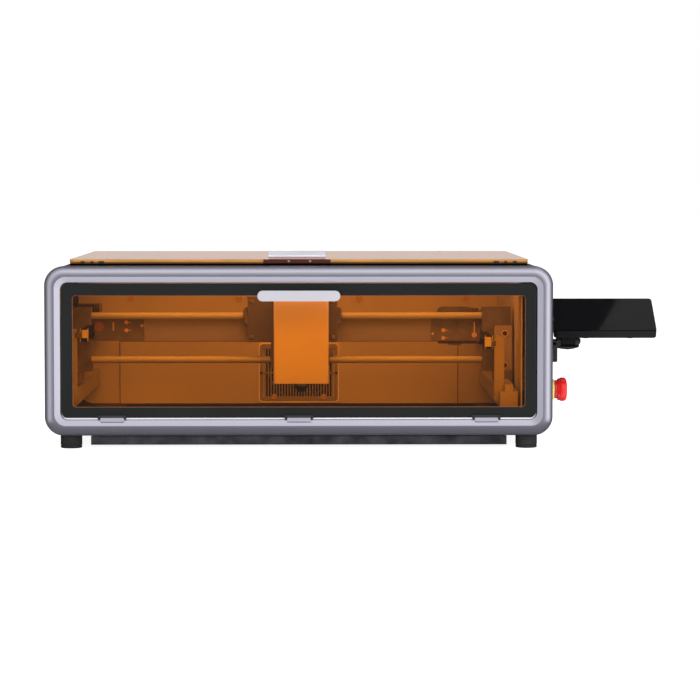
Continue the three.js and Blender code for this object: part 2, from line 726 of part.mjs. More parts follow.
// ---- Gantry ----
// One end of the gantry: a slider over the rail, a block that clamps both rods, and a plate behind them.
function gantryEnd({ clamp, plate, railX, beltX, beltZ }) {
  const rodHoles = [ROD.upper, ROD.lower].map((z) =>
    rodX(ROD.y, z, ROD.radius + GAP, ROD.left - GAP, ROD.right + GAP),
  );
  const { slider, top } = GANTRY_END;
  const through = [ROD.y - 50, ROD.y + 50];
  const clampBlock = block(...clamp, ROD.y - 11, BEAM.front + 1, slider.top - 1, top);
  const sliderX = [railX - slider.halfWidth, railX + slider.halfWidth];
  const sliderY = [ROD.y - slider.halfLength, ROD.y + slider.halfLength];
  const sliderBlock = block(...sliderX, ...sliderY, slider.bottom, slider.top);
  const backPlate = block(...plate, BEAM.front, BEAM.back, BEAM.bottom, BEAM.top);
  const groove = RAIL.halfWidth + GAP;
  const railSlot = block(railX - groove, railX + groove, ...through, slider.bottom - 5, RAIL.top + GAP);
  const beltHalf = BELT.width / 2 + 1.5;
  const beltZs = [beltZ - BELT.outer - 3, beltZ + BELT.outer + 0.4];
  const beltSlot = block(beltX - beltHalf, beltX + beltHalf, ...through, ...beltZs);
  return cut(join(clampBlock, sliderBlock, backPlate), ...rodHoles, railSlot, beltSlot);
}

function gantryEndLeft() {
  const { leftX: beltX, leftZ: beltZ } = Y_AXIS;
  const railX = RAIL.leftX;
  const end = gantryEnd({ clamp: [-272, -241], plate: [-272, BEAM.left], railX, beltX, beltZ });
  return join(end, rodY(X_AXIS.left, X_AXIS.z, 2.5, BEAM.back - 1, BEAM.back + 11, 10));
}

// The right end also holds the X motor, on a plate behind the belt, and a light cover with two screws.
function gantryEndRight() {
  const { rightX: beltX, rightZ: beltZ } = Y_AXIS;
  const railX = RAIL.rightX;
  const end = gantryEnd({ clamp: [212, 245], plate: [BEAM.right, 245], railX, beltX, beltZ });
  const bridge = block(205, 208.5, BEAM.front, 178, 126, 150);
  const motorPlate = block(162, 208.5, 176, 178, 108, 150);
  const shaftHole = rodY(X_AXIS.right, X_AXIS.z, 12, 170, 180, 16);
  const cover = block(225, 246, ROD.y - 14.5, ROD.y - 10, 78, 132);
  const screws = [122, 85].map((z) => rodY(238, z, 3, ROD.y - 16, ROD.y - 14, 12));
  return join(cut(join(end, bridge, motorPlate), shaftHole), cover, ...screws);
}

function addGantry() {
  add("gantry_end_left", gantryEndLeft(), blackPlastic);
  add("gantry_end_right", gantryEndRight(), blackPlastic);
  const { left, right, front, back, bottom, top } = BEAM;
  add("gantry_beam", block(left + GAP, right - GAP, front + 1, back, bottom, top), aluminium);
  for (const [name, z] of [["x_rod_upper", ROD.upper], ["x_rod_lower", ROD.lower]]) {
    add(name, rodX(ROD.y, z, ROD.radius, ROD.left, ROD.right, 20), steel);
  }
  const motor = add("x_motor", stepperMotor(27.5, 11), blackPlastic);
  motor.rotation.x = Math.PI / 2;
  motor.position.set(X_AXIS.right, 178 + GAP, X_AXIS.z);
  const belt = beltLoop(X_AXIS.left, X_AXIS.right, X_AXIS.z);
  const reach = BELT.width / 2;
  add("x_belt", alongY(belt, X_AXIS.y - reach, X_AXIS.y + reach, 5), beltRubber);
  for (const [name, x] of [["x_pulley", X_AXIS.right], ["x_idler", X_AXIS.left]]) {
    const wheel = add(name, beltWheel(), aluminium);
    wheel.rotation.x = Math.PI / 2;
    wheel.position.set(x, X_AXIS.y, X_AXIS.z);
  }
}

// ---- Carriage and laser head ----
function dovetail(clearance, front, back) {
  return polygon([
    [HEAD_X - 9 - clearance, back],
    [HEAD_X + 9 + clearance, back],
    [HEAD_X + 12 + clearance, front - clearance],
    [HEAD_X - 12 - clearance, front - clearance],
  ]);
}

// The bearing blocks on both rods, the plate in front of them with the dovetail, and the belt clamp.
function xCarriage() {
  const plateBack = ROD.y - 9.7;
  const plateFront = 136;
  const blocks = [
    block(-64, 48, plateBack - 1, ROD.y + 10, ROD.upper - 9.5, ROD.upper + 9.5),
    block(-33, 34, plateBack - 1, ROD.y + 10, ROD.lower - 9.5, ROD.lower + 9.5),
    block(-60, 44, plateFront, plateBack, 112, 165),
    block(-33, 34, plateFront, plateBack, ROD.lower - 9.5, 113),
    block(-10, 10, ROD.y + 9, 175.5, 139.3, 142),
    block(-10, 10, 167.5, 175.5, X_AXIS.z + BELT.outer + 0.4, 140),
  ];
  const tongue = alongZ(dovetail(0, 131, plateFront + 0.5), 85, 160);
  const holes = [ROD.upper, ROD.lower].map((z) => rodX(ROD.y, z, ROD.radius + GAP, -90, 90, 16));
  return cut(join(...blocks, tongue), ...holes);
}

// The cooling block, its dovetailed back, the pin of the fan and the thumb screw's hole.
function laserHeatsink() {
  const core = block(HEAD.left + 5, HEAD.right - 5, HEAD.front + 8, 126, 78, 138);
  const back = block(HEAD_X - 24, HEAD_X + 24, 125.5, 135.6, 84, 150);
  const fins = [];
  for (let i = 0; i < 6; i += 1) {
    const x = HEAD.left + 9.5 + i * 8.2;
    fins.push(block(x, x + 4, HEAD.front, 122, 104, 140));
  }
  const groove = alongZ(dovetail(GAP, 131, 137), 80, 155);
  const screwHole = rodX(KNOB.y, KNOB.z, 1.9, HEAD_X + 14, HEAD_X + 30, 10);
  const pin = rodZ(HEAD_X, HEAD.fanY, 2, 100, 158, 10);
  return join(cut(join(core, back), groove, screwHole, ...fins), pin);
}

// A folded cover open at the back, with a round fan opening in its top and a hole for the nozzle.
function laserCover() {
  const wall = 1.6;
  const { left, right, front, back, bottom, top } = HEAD;
  const outer = alongZ(roundedRect(left, right, front, back + 10, 3), bottom, top, 2);
  const rearCut = block(left - 1, right + 1, back, back + 11, bottom - 1, top + 1);
  const inside = block(left + wall, right - wall, front + wall, back + 11, bottom + wall, top - wall);
  const fanHole = rodZ(HEAD_X, HEAD.fanY, 22, top - 4, top + 1, 24);
  const nozzleHole = rodZ(HEAD_X, HEAD.fanY, 8.6, bottom - 1, bottom + 4, 20);
  return cut(outer, rearCut, inside, fanHole, nozzleHole);
}

function laserNozzle() {
  const profile = [
    [2.5, 57],
    [4.2, 57],
    [8, 64],
    [8, 77.7],
    [6.3, 77.7],
    [6.3, 71],
    [2.5, 68],
    [2.5, 57],
  ].map(([r, h]) => new THREE.Vector2(r, h));
  return new THREE.LatheGeometry(profile, 16).rotateX(Math.PI / 2).translate(HEAD_X, HEAD.fanY, 0);
}

function focusKnob() {
  const grip = rodX(KNOB.y, KNOB.z, 4.3, HEAD_X + 25, HEAD_X + 36, 12);
  return join(grip, rodX(KNOB.y, KNOB.z, 1.5, HEAD_X + 15, HEAD_X + 26, 10));
}

function addLaserHead() {
  add("x_carriage", xCarriage(), blackPlastic);
  add("laser_heatsink", laserHeatsink(), aluminium);
  add("laser_cover", laserCover(), handleMetal);
  add("laser_nozzle", laserNozzle(), aluminium);
  add("laser_lens", rodZ(HEAD_X, HEAD.fanY, 6, 71.3, 73.8, 16), lensGlass);
  const fan = add("laser_fan_rotor", rotor(7, 10, 21, 10), blackPlastic);
  fan.position.set(HEAD_X, HEAD.fanY, 152);
  add("focus_knob", focusKnob(), aluminium);
}

// ---- Emergency stop ----
// A profile of [radius, x] points turned round the button's axis, from the right wall outwards.
function turnedOnWall(profile, segments) {
  const points = profile.map(([r, x]) => new THREE.Vector2(r, x));
  const geometry = new THREE.LatheGeometry(points, segments).rotateZ(-Math.PI / 2);
  return geometry.translate(0, ESTOP.y, ESTOP.z);
}

function addEmergencyStop() {
  const wall = SHELL_X + GAP;
  const collar = turnedOnWall(
    [
      [4.6, wall - 21],
      [8.5, wall - 21],
      [8.5, wall],
      [11.7, wall],
      [11.7, wall + 7.8],
      [11.3, wall + 8.2],
      [10.9, wall + 8.2],
      [10.9, wall + 5],
      [4.6, wall + 5],
      [4.6, wall - 21],
    ],
    18,
  );
  add("estop_collar", collar, yellowPlastic);
  const head = turnedOnWall(
    [
      [0, wall + 14.4],
      [4.4, wall + 14.4],
      [4.4, wall + 9],
      [10.5, wall + 9],
      [10.5, wall + 12.1],
      [12.3, wall + 12.1],
      [12.7, wall + 14.6],
      [13.65, wall + 15.6],
      [13.5, wall + 20],
      [11.6, wall + 22.2],
      [7, wall + 23],
      [0, wall + 23.2],
    ],
    18,
  );
  add("estop_stem", rodX(ESTOP.y, ESTOP.z, 4, wall + 1.5, wall + 14, 16), blackPlastic);
  add("estop_head", head, redPlastic);
}

// ---- Display ----
function displayHousing() {
  const { left, right, frontY, frontZ, length, thick } = DISPLAY;
  const slab = alongZ(roundedRect(left, right, 0, length, 4), -thick, 0, 2);
  slab.rotateX(DISPLAY_TILT).translate(0, frontY, frontZ);
  const { y, z } = DISPLAY_HINGE;
  const arm = block(296.3, 312.2, -5, 5, 0, 14).rotateX(DISPLAY_TILT).translate(0, y, z);
  const boss = rodX(y, z, 6, 296.3, 312.2, 16);
  return cut(join(slab, arm, boss), rodX(y, z, 2.3, 290, 320, 12));
}

// The plate on the right wall and the fork that the display tilts in, with its pin. A bridge behind the
// display's arm joins the two lugs.
function displayBracket() {
  const wall = SHELL_X + GAP;
  const { y, z } = DISPLAY_HINGE;
  const lug = 6.5;
  const [nearLug, farLug] = [[291.5, 296], [312.5, 317]];
  const backOfFork = y + 12;
  const bottom = 93.5;
  const plate = block(wall, wall + 3.5, 44, 84, bottom, 148);
  const pad = block(wall, wall + 6, y - lug, backOfFork, bottom, z);
  const arm = block(wall, nearLug[1], y - lug, backOfFork, z - lug, z + 2);
  const bridge = block(nearLug[0], farLug[1], y + lug + 0.7, backOfFork, z - lug, z + 2);
  const lugs = [nearLug, farLug].map(([x0, x1]) => {
    const web = block(x0, x1, y, backOfFork - 1, z - lug, z + 1);
    return join(web, rodX(y, z, lug, x0, x1, 16));
  });
  return join(plate, pad, arm, bridge, ...lugs, rodX(y, z, 2, nearLug[0] + 1, farLug[1] - 1, 12));
}

function addDisplay() {
  add("display_bracket", displayBracket(), blackPlastic);
  add("display_housing", displayHousing(), blackGloss);
}

addCase();
addDoor();
addLid();
addYDrive();
addGantry();
addLaserHead();
addEmergencyStop();
addDisplay();

// Move the origin to the middle of the footprint, at table height.
const bounds = new THREE.Box3().setFromObject(machine, true);
const middle = bounds.getCenter(new THREE.Vector3());
machine.position.set(-middle.x, -middle.y, -bounds.min.z);

export default machine;
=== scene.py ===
"""Looks of the enclosed desktop laser engraver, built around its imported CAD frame.

Shapes are drawn in millimetres from the case's own datum: the middle of the case (x), the front face
of the bezel (y) and the table (z). `at(x, y, z)` turns such a place into Blender's metres, and
`span(node)` gives the box of a CAD node in the same millimetres.
"""

import itertools
import math

import bmesh
import bpy
from mathutils import Matrix, Vector


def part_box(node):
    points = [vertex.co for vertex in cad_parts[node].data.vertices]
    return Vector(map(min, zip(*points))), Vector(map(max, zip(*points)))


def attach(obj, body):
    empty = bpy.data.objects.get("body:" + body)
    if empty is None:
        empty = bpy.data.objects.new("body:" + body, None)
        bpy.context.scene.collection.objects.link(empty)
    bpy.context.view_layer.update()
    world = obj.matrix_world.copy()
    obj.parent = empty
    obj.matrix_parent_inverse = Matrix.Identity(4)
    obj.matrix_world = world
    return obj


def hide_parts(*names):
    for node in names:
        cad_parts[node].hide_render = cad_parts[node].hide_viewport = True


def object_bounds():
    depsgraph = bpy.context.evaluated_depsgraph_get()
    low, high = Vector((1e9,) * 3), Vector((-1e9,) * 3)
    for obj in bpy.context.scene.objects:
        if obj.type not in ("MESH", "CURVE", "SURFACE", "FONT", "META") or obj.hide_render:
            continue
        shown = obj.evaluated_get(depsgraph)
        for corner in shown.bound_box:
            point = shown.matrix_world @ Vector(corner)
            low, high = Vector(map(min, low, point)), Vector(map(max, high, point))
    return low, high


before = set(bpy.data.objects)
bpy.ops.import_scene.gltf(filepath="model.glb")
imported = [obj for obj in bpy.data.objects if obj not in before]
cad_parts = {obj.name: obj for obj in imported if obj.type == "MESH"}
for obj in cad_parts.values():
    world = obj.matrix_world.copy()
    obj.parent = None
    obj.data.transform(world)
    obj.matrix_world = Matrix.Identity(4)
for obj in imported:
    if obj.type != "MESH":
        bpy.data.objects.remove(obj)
cad_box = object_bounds()

MM = 0.001
TAU = math.tau

BEZEL_LOW, BEZEL_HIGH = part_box("front_bezel")
CASE_X = (BEZEL_LOW.x + BEZEL_HIGH.x) / 2
FRONT_Y = BEZEL_LOW.y


def at(x, y, z):
    return Vector((CASE_X + x * MM, FRONT_Y + y * MM, z * MM))


# ---------------------------------------------------------------- materials


class Nodes:
    """A node tree, with short calls for the nodes that the finishes and the studio share."""

    def __init__(self, tree, place):
        self.tree = tree
        self.place = self.add("ShaderNodeTexCoord").outputs[place]

    def add(self, kind, **values):
        node = self.tree.nodes.new(kind)
        for key, value in values.items():
            setattr(node, key, value)
        return node

    def link(self, source, target):
        self.tree.links.new(source, target)

    def noise(self, scale, detail=3.0, stretch=None):
        node = self.add("ShaderNodeTexNoise")
        for key, number in (("Scale", scale), ("Detail", detail), ("Roughness", 0.55)):
            node.inputs[key].default_value = number
        place = self.place
        if stretch:
            mapping = self.add("ShaderNodeMapping")
            mapping.inputs["Scale"].default_value = stretch
            self.link(place, mapping.inputs["Vector"])
            place = mapping.outputs["Vector"]
        self.link(place, node.inputs["Vector"])
        return node.outputs["Fac"]

    def spread(self, value, low, high, from_low=0.3, from_high=0.7):
        """Maps a value to a range; the standard input range is that of a noise."""
        node = self.add("ShaderNodeMapRange")
        ends = {"From Min": from_low, "From Max": from_high, "To Min": low, "To Max": high}
        for key, number in ends.items():
            node.inputs[key].default_value = number
        self.link(value, node.inputs["Value"])
        return node.outputs["Result"]

    def math(self, operation, first, second):
        node = self.add("ShaderNodeMath", operation=operation)
        self.link(first, node.inputs[0])
        self.link(second, node.inputs[1])
        return node.outputs["Value"]

    def mix(self, factor, first, second):
        """Mixes two colours, each given as a tuple or as another node's output."""
        node = self.add("ShaderNodeMix", data_type="RGBA")
        self.link(factor, node.inputs["Factor"])
        for socket, value in ((node.inputs[6], first), (node.inputs[7], second)):
            if isinstance(value, tuple):
                socket.default_value = (*value, 1)
            else:
                self.link(value, socket)
        return node.outputs[2]


class Finish(Nodes):
    """A material, with calls that set or feed its shader's inputs."""

    def __init__(self, name):
        self.material = bpy.data.materials.new(name)
        self.material.use_nodes = True
        super().__init__(self.material.node_tree, "Object")
        self.shader = self.tree.nodes["Principled BSDF"]

    def set(self, **values):
        for key, value in values.items():
            socket = self.shader.inputs[key.replace("_", " ")]
            socket.default_value = (*value, 1) if isinstance(value, tuple) else value

    def feed(self, **sources):
        for key, source in sources.items():
            self.link(source, self.shader.inputs[key.replace("_", " ")])

    def bump(self, height, strength, distance):
        node = self.add("ShaderNodeBump")
        node.inputs["Strength"].default_value = strength
        node.inputs["Distance"].default_value = distance
        self.link(height, node.inputs["Height"])
        self.feed(Normal=node.outputs["Normal"])


def shade(color, factor):
    return tuple(min(1.0, channel * factor) for channel in color)


def painted(
    name, color, rough=0.5, metal=0.0, grain=900, bump=0.15, wear=None, coat=0.0, specular=0.5, uneven=1.0
):
    """Sprayed or moulded finish: fine grain, slight mottling, smudged gloss and worn edges."""
    n = Finish(name)
    dark, pale = shade(color, 1 - 0.1 * uneven), shade(color, 1 + 0.08 * uneven)
    tint = n.mix(n.spread(n.noise(9, 4), 0, 1), dark, pale)
    if wear:
        point = n.add("ShaderNodeNewGeometry").outputs["Pointiness"]
        patches = n.spread(n.noise(60, 5), 0, 1)
        tint = n.mix(n.math("MULTIPLY", n.spread(point, 0, 0.6, 0.52, 0.6), patches), tint, wear)
    n.feed(Base_Color=tint, Roughness=n.spread(n.noise(28, 5), rough - 0.05 * uneven, rough + 0.07 * uneven))
    if bump:
        n.bump(n.noise(grain, 2), bump, 0.00006)
    n.set(Metallic=metal, Coat_Weight=coat, Coat_Roughness=0.12, Specular_IOR_Level=specular)
    return n.material


def brushed(name, color, rough=0.3, along="x", metal=1.0, bump=0.12):
    """Metal with fine lines running along one axis."""
    n = Finish(name)
    lines = n.noise(2600, 3, [0.02 if axis == along else 1 for axis in "xyz"])
    tint = n.mix(n.spread(lines, 0, 1), shade(color, 0.86), shade(color, 1.1))
    n.feed(Base_Color=tint, Roughness=n.spread(lines, rough - 0.08, rough + 0.1))
    if bump:
        n.bump(lines, bump, 0.00003)
    n.set(Metallic=metal)
    return n.material


def rubbery(name, color=(0.012, 0.012, 0.013)):
    """Dull rubber with a little dust on it."""
    n = Finish(name)
    tint = n.mix(n.spread(n.noise(45, 6), 0, 0.5, 0.45, 0.8), color, shade(color, 3.2))
    n.feed(Base_Color=tint, Roughness=n.spread(n.noise(80, 3), 0.62, 0.82))
    n.bump(n.noise(1500, 3), 0.35, 0.0001)
    return n.material


def amber_sheet(name, mirror_tint=(0.9, 0.88, 0.87)):
    """Polished amber acrylic: what is behind it shows through, tinted once by each face."""
    index, gloss, tint = 1.49, 0.03, (0.97, 0.69, 0.3)
    n = Finish(name)
    clear = n.add("ShaderNodeBsdfTransparent")
    n.link(n.mix(n.spread(n.noise(5, 2), 0, 1), tint, shade(tint, 0.97)), clear.inputs["Color"])
    mirror = n.add("ShaderNodeBsdfGlossy")
    mirror.inputs["Roughness"].default_value = gloss
    mirror.inputs["Color"].default_value = (*mirror_tint, 1)
    fresnel = n.add("ShaderNodeFresnel")
    inside = n.add("ShaderNodeNewGeometry").outputs["Backfacing"]
    n.link(n.spread(inside, index, 1 / index, 0, 1), fresnel.inputs["IOR"])
    both = n.add("ShaderNodeMixShader")
    for source, socket in zip((fresnel, clear, mirror), both.inputs):
        n.link(source.outputs[0], socket)
    n.link(both.outputs["Shader"], n.tree.nodes["Material Output"].inputs["Surface"])
    n.tree.nodes.remove(n.shader)
    return n.material


def painted_glow_edge(name, color, glow):
    """The polished edge of the sheet, with painted glow: its emission stands in for the light that the sheet
    traps.
    """
    n = Finish(name)
    streaks = n.spread(n.noise(600, 2, (0.04, 1, 1)), 0, 1)
    tint = n.mix(streaks, shade(color, 0.8), shade(color, 1.15))
    n.feed(Base_Color=tint, Emission_Color=tint, Roughness=n.spread(n.noise(30, 3), 0.1, 0.2))
    n.set(Emission_Strength=glow)
    return n.material


def glossy_black(name, color, rough, coat=0.4, specular=0.5):
    """Polished dark glass or lacquer, faintly smudged."""
    n = Finish(name)
    n.feed(Base_Color=n.mix(n.spread(n.noise(12, 3), 0, 1), color, shade(color, 1.2)),
           Roughness=n.spread(n.noise(35, 6), rough, rough + 0.07, 0.45, 0.75))
    n.set(Coat_Weight=coat, Coat_Roughness=0.05, Specular_IOR_Level=specular)
    return n.material


def circuit_board(name):
    """Green solder mask with copper tracks under it."""
    n = Finish(name)
    cells = n.add("ShaderNodeTexVoronoi", distance="CHEBYCHEV")
    cells.inputs["Scale"].default_value = 140
    n.link(n.place, cells.inputs["Vector"])
    track = n.spread(cells.outputs["Distance"], 0, 1, 0.42, 0.46)
    n.feed(Base_Color=n.mix(track, (0.012, 0.1, 0.045), (0.03, 0.2, 0.09)),
           Roughness=n.spread(n.noise(50, 3), 0.25, 0.38))
    n.bump(track, 0.4, 0.00005)
    return n.material


BEZEL = painted("bezel_paint", (0.57, 0.56, 0.66), 0.28, 0.94, bump=0, uneven=0.08)
SHELL = painted("shell_powder_coat", (0.028, 0.028, 0.034), 0.55, bump=0, specular=0.2, uneven=0.4)
TRAY = painted("tray_paint", (0.011, 0.0105, 0.014), 0.5, bump=0, wear=(0.06, 0.06, 0.066), specular=0.2)
WALL = painted("chamber_wall_paint", (0.62, 0.6, 0.6), 0.55, 0.05, bump=0, uneven=0.4)
GREY_PANEL = painted("slider_cover_paint", (0.4, 0.39, 0.39), 0.5, 0.2, 1600, 0.2)
PLASTIC = painted("black_plastic", (0.016, 0.016, 0.018), 0.42, 0, 1800, 0.35)
PLASTIC_GREY = painted("grille_plastic", (0.34, 0.33, 0.34), 0.45, 0, 1800, 0.2)
PLASTIC_WHITE = painted("white_plastic", (0.7, 0.69, 0.66), 0.4, 0, 1800, 0.15)
ANODISED = painted(
    "black_anodised_metal", (0.12, 0.115, 0.115), 0.45, 0.2, 2200, 0.15, wear=(0.3, 0.3, 0.31)
)
MOTOR = painted("motor_enamel", (0.02, 0.02, 0.022), 0.35, 0.4, 1600, 0.2, wear=(0.25, 0.25, 0.25))
MOTOR_CAP = painted("motor_cap_alloy", (0.28, 0.28, 0.29), 0.38, 0.8, 2000, 0.3)
HANDLE = painted("door_handle_paint", (0.44, 0.43, 0.47), 0.34, 0.2, 2400, 0.05, uneven=0.4)
LUG = painted("hinge_lug_paint", (0.36, 0.35, 0.42), 0.35, 0.3, bump=0, uneven=0.4)
LIGHT = painted("light_anodised_metal", (0.66, 0.64, 0.7), 0.32, 0.2, 2400, 0.08, coat=0.1)
COVER = painted("laser_cover_paint", (0.74, 0.7, 0.7), 0.4, 0.1, bump=0, uneven=0.4)
ROSE = painted("lid_handle_base", (0.36, 0.24, 0.24), 0.4, 0.3, 2400, 0.1)
BROWN = painted("lid_clamp_brown", (0.07, 0.016, 0.006), 0.35, 0.1, 2000, 0.2)
DISPLAY_BODY = painted(
    "display_body_plastic", (0.006, 0.006, 0.0065), 0.32, 0, 2400, 0.15, specular=0.2
)
# painted shadow: dark strips along the edges of the wall's raised panel
PANEL_STEP_SHADOW = painted("panel_gap_shadow", (0.16, 0.15, 0.15), 0.6, 0, 1800, 0.1)
# painted shade: near-black, for the seal that fills the shaded gap under the lid's front edge
GASKET_AND_GAP_SHADE = painted("lid_gasket_painted_gap_shade", (0.002, 0.002, 0.0025), 0.85, 0, 1500, 0.2, specular=0.05)
ALUMINIUM_WHEEL = painted("wheel_alloy", (0.8, 0.8, 0.8), 0.35, 0.3, 2000, 0.1)
RED = painted("stop_red_plastic", (0.74, 0.018, 0.018), 0.28, 0, 2600, 0.1, coat=0.35)
YELLOW = painted("stop_yellow_plastic", (1.0, 0.76, 0.16), 0.36, 0, 2400, 0.15)
BRASS = brushed("passivated_brass", (0.85, 0.6, 0.28), 0.35, "z", metal=0.35)
BRASS_DARK = brushed("bronzed_metal", (0.4, 0.2, 0.08), 0.4, "z", metal=0.4)
STEEL = brushed("ground_steel", (0.82, 0.83, 0.84), 0.34)
ROD_STEEL = brushed("guide_rod_steel", (0.64, 0.66, 0.52), 0.44, metal=0.5, bump=0)
STEEL_DARK = brushed("blackened_steel", (0.09, 0.09, 0.095), 0.35)
RAIL_STEEL = brushed("rail_steel", (0.46, 0.45, 0.45), 0.4, "y", metal=0.25)
ALUMINIUM = brushed("machined_aluminium", (0.55, 0.56, 0.57), 0.34, "z")
BEAM = brushed("gantry_aluminium", (0.3, 0.3, 0.31), 0.4, metal=0.3)
RUBBER = rubbery("foot_rubber")
BELT = rubbery("belt_rubber", (0.014, 0.014, 0.014))
BLACK_GLASS = glossy_black("black_border_gloss", (0.01, 0.0105, 0.0105), 0.1, coat=0, specular=0.35)
SCREEN = glossy_black("screen_glass", (0.0015, 0.0015, 0.002), 0.04, coat=0, specular=0.12)
LENS = glossy_black("lens_coating", (0.05, 0.08, 0.12), 0.03)
AMBER_DOOR = amber_sheet("amber_acrylic_door")
AMBER_LID = amber_sheet("amber_acrylic_lid", mirror_tint=(1.0, 0.84, 0.77))
# painted glow: emission on the lid sheet's edges
AMBER_EDGE_PAINTED_GLOW = painted_glow_edge("amber_acrylic_edge", (0.5, 0.235, 0.055), 0.05)
# painted shade: darker amber, with a faint painted glow, for the lower part of the lid's front edge
AMBER_LOWER_EDGE_SHADE = painted_glow_edge("amber_acrylic_lower_edge_shade", (0.16, 0.07, 0.02), 0.02)
# painted glint: faint emission on the amber lip round the door window
AMBER_RIM_PAINTED_GLOW = painted_glow_edge("amber_acrylic_rim_painted_glow", (0.2, 0.07, 0.03), 0.01)
# painted glint: pale rim with emission round the exhaust grille
GRILLE_RIM_PAINTED_GLINT = painted_glow_edge("grille_rim_painted_glint", (0.8, 0.62, 0.4), 0.22)
BOARD = circuit_board("circuit_board_green")


# ---------------------------------------------------------------- mesh tools

PLANES = {"x": lambda u, v, w: (w, u, v), "y": lambda u, v, w: (u, w, v), "z": lambda u, v, w: (u, v, w)}


def span(node):
    """The lowest and highest corners of a CAD node, in the case's own millimetres."""
    low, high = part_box(node)
    datum = at(0, 0, 0)
    return (low - datum) / MM, (high - datum) / MM


def centre(node):
    low, high = span(node)
    return (low + high) / 2


def about(middle, half):
    """The two ends of a length that has `middle` at its middle."""
    return middle - half, middle + half


def grid(*axes):
    """Every place with these x, y and z values; a single number stands for itself."""
    return itertools.product(*(axis if isinstance(axis, tuple) else (axis,) for axis in axes))


def arc(u, v, radius, start, end, steps):
    """Points on an arc, its angles in degrees."""
    angles = [math.radians(start + (end - start) * i / steps) for i in range(steps + 1)]
    return [(u + radius * math.cos(a), v + radius * math.sin(a)) for a in angles]


def rounded_rect(u0, u1, v0, v1, radius, steps=8):
    corners = [(u1 - radius, v1 - radius), (u0 + radius, v1 - radius), (u0 + radius, v0 + radius),
               (u1 - radius, v0 + radius)]
    return [
        point for turn, (u, v) in enumerate(corners)
        for point in arc(u, v, radius, 90 * turn, 90 * turn + 90, steps)
    ]


def ring_points(u, v, radius, steps):
    """A full circle that starts like rounded_rect, with as many points as one with `steps` a corner."""
    count = 4 * (steps + 1)
    angles = [TAU * (i + 0.5) / count for i in range(count)]
    return [(u + radius * math.cos(a), v + radius * math.sin(a)) for a in angles]


def sides(count):
    """How far a regular polygon's edge lies from its centre, against its inner circle."""
    half = math.pi / count
    return lambda angle: 1 / math.cos((angle + half) % (2 * half) - half)


def scallops(count, depth):
    return lambda angle: 1 - depth * (0.5 + 0.5 * math.cos(count * angle)) ** 3


def teeth(count, depth):
    return lambda angle: 1 - depth * min(1, max(0, 0.5 + 1.6 * math.cos(count * angle)))


def skin(part, loops, wrap=False):
    """Faces between neighbouring loops of vertices. A loop of one vertex is a pole."""
    for loop, following in zip(loops, loops[1:] + (loops[:1] if wrap else [])):
        count = max(len(loop), len(following))
        for i in range(count):
            j = (i + 1) % count
            corners = [loop[i % len(loop)], loop[j % len(loop)]]
            corners += [following[j % len(following)], following[i % len(following)]]
            part.faces.new(list(dict.fromkeys(corners)))


def soften(part, edges, width, segments):
    """Rounds some edges of a solid."""
    if width:
        bmesh.ops.bevel(part, geom=edges, offset=width, segments=segments, profile=0.5, affect="EDGES",
                        clamp_overlap=True)


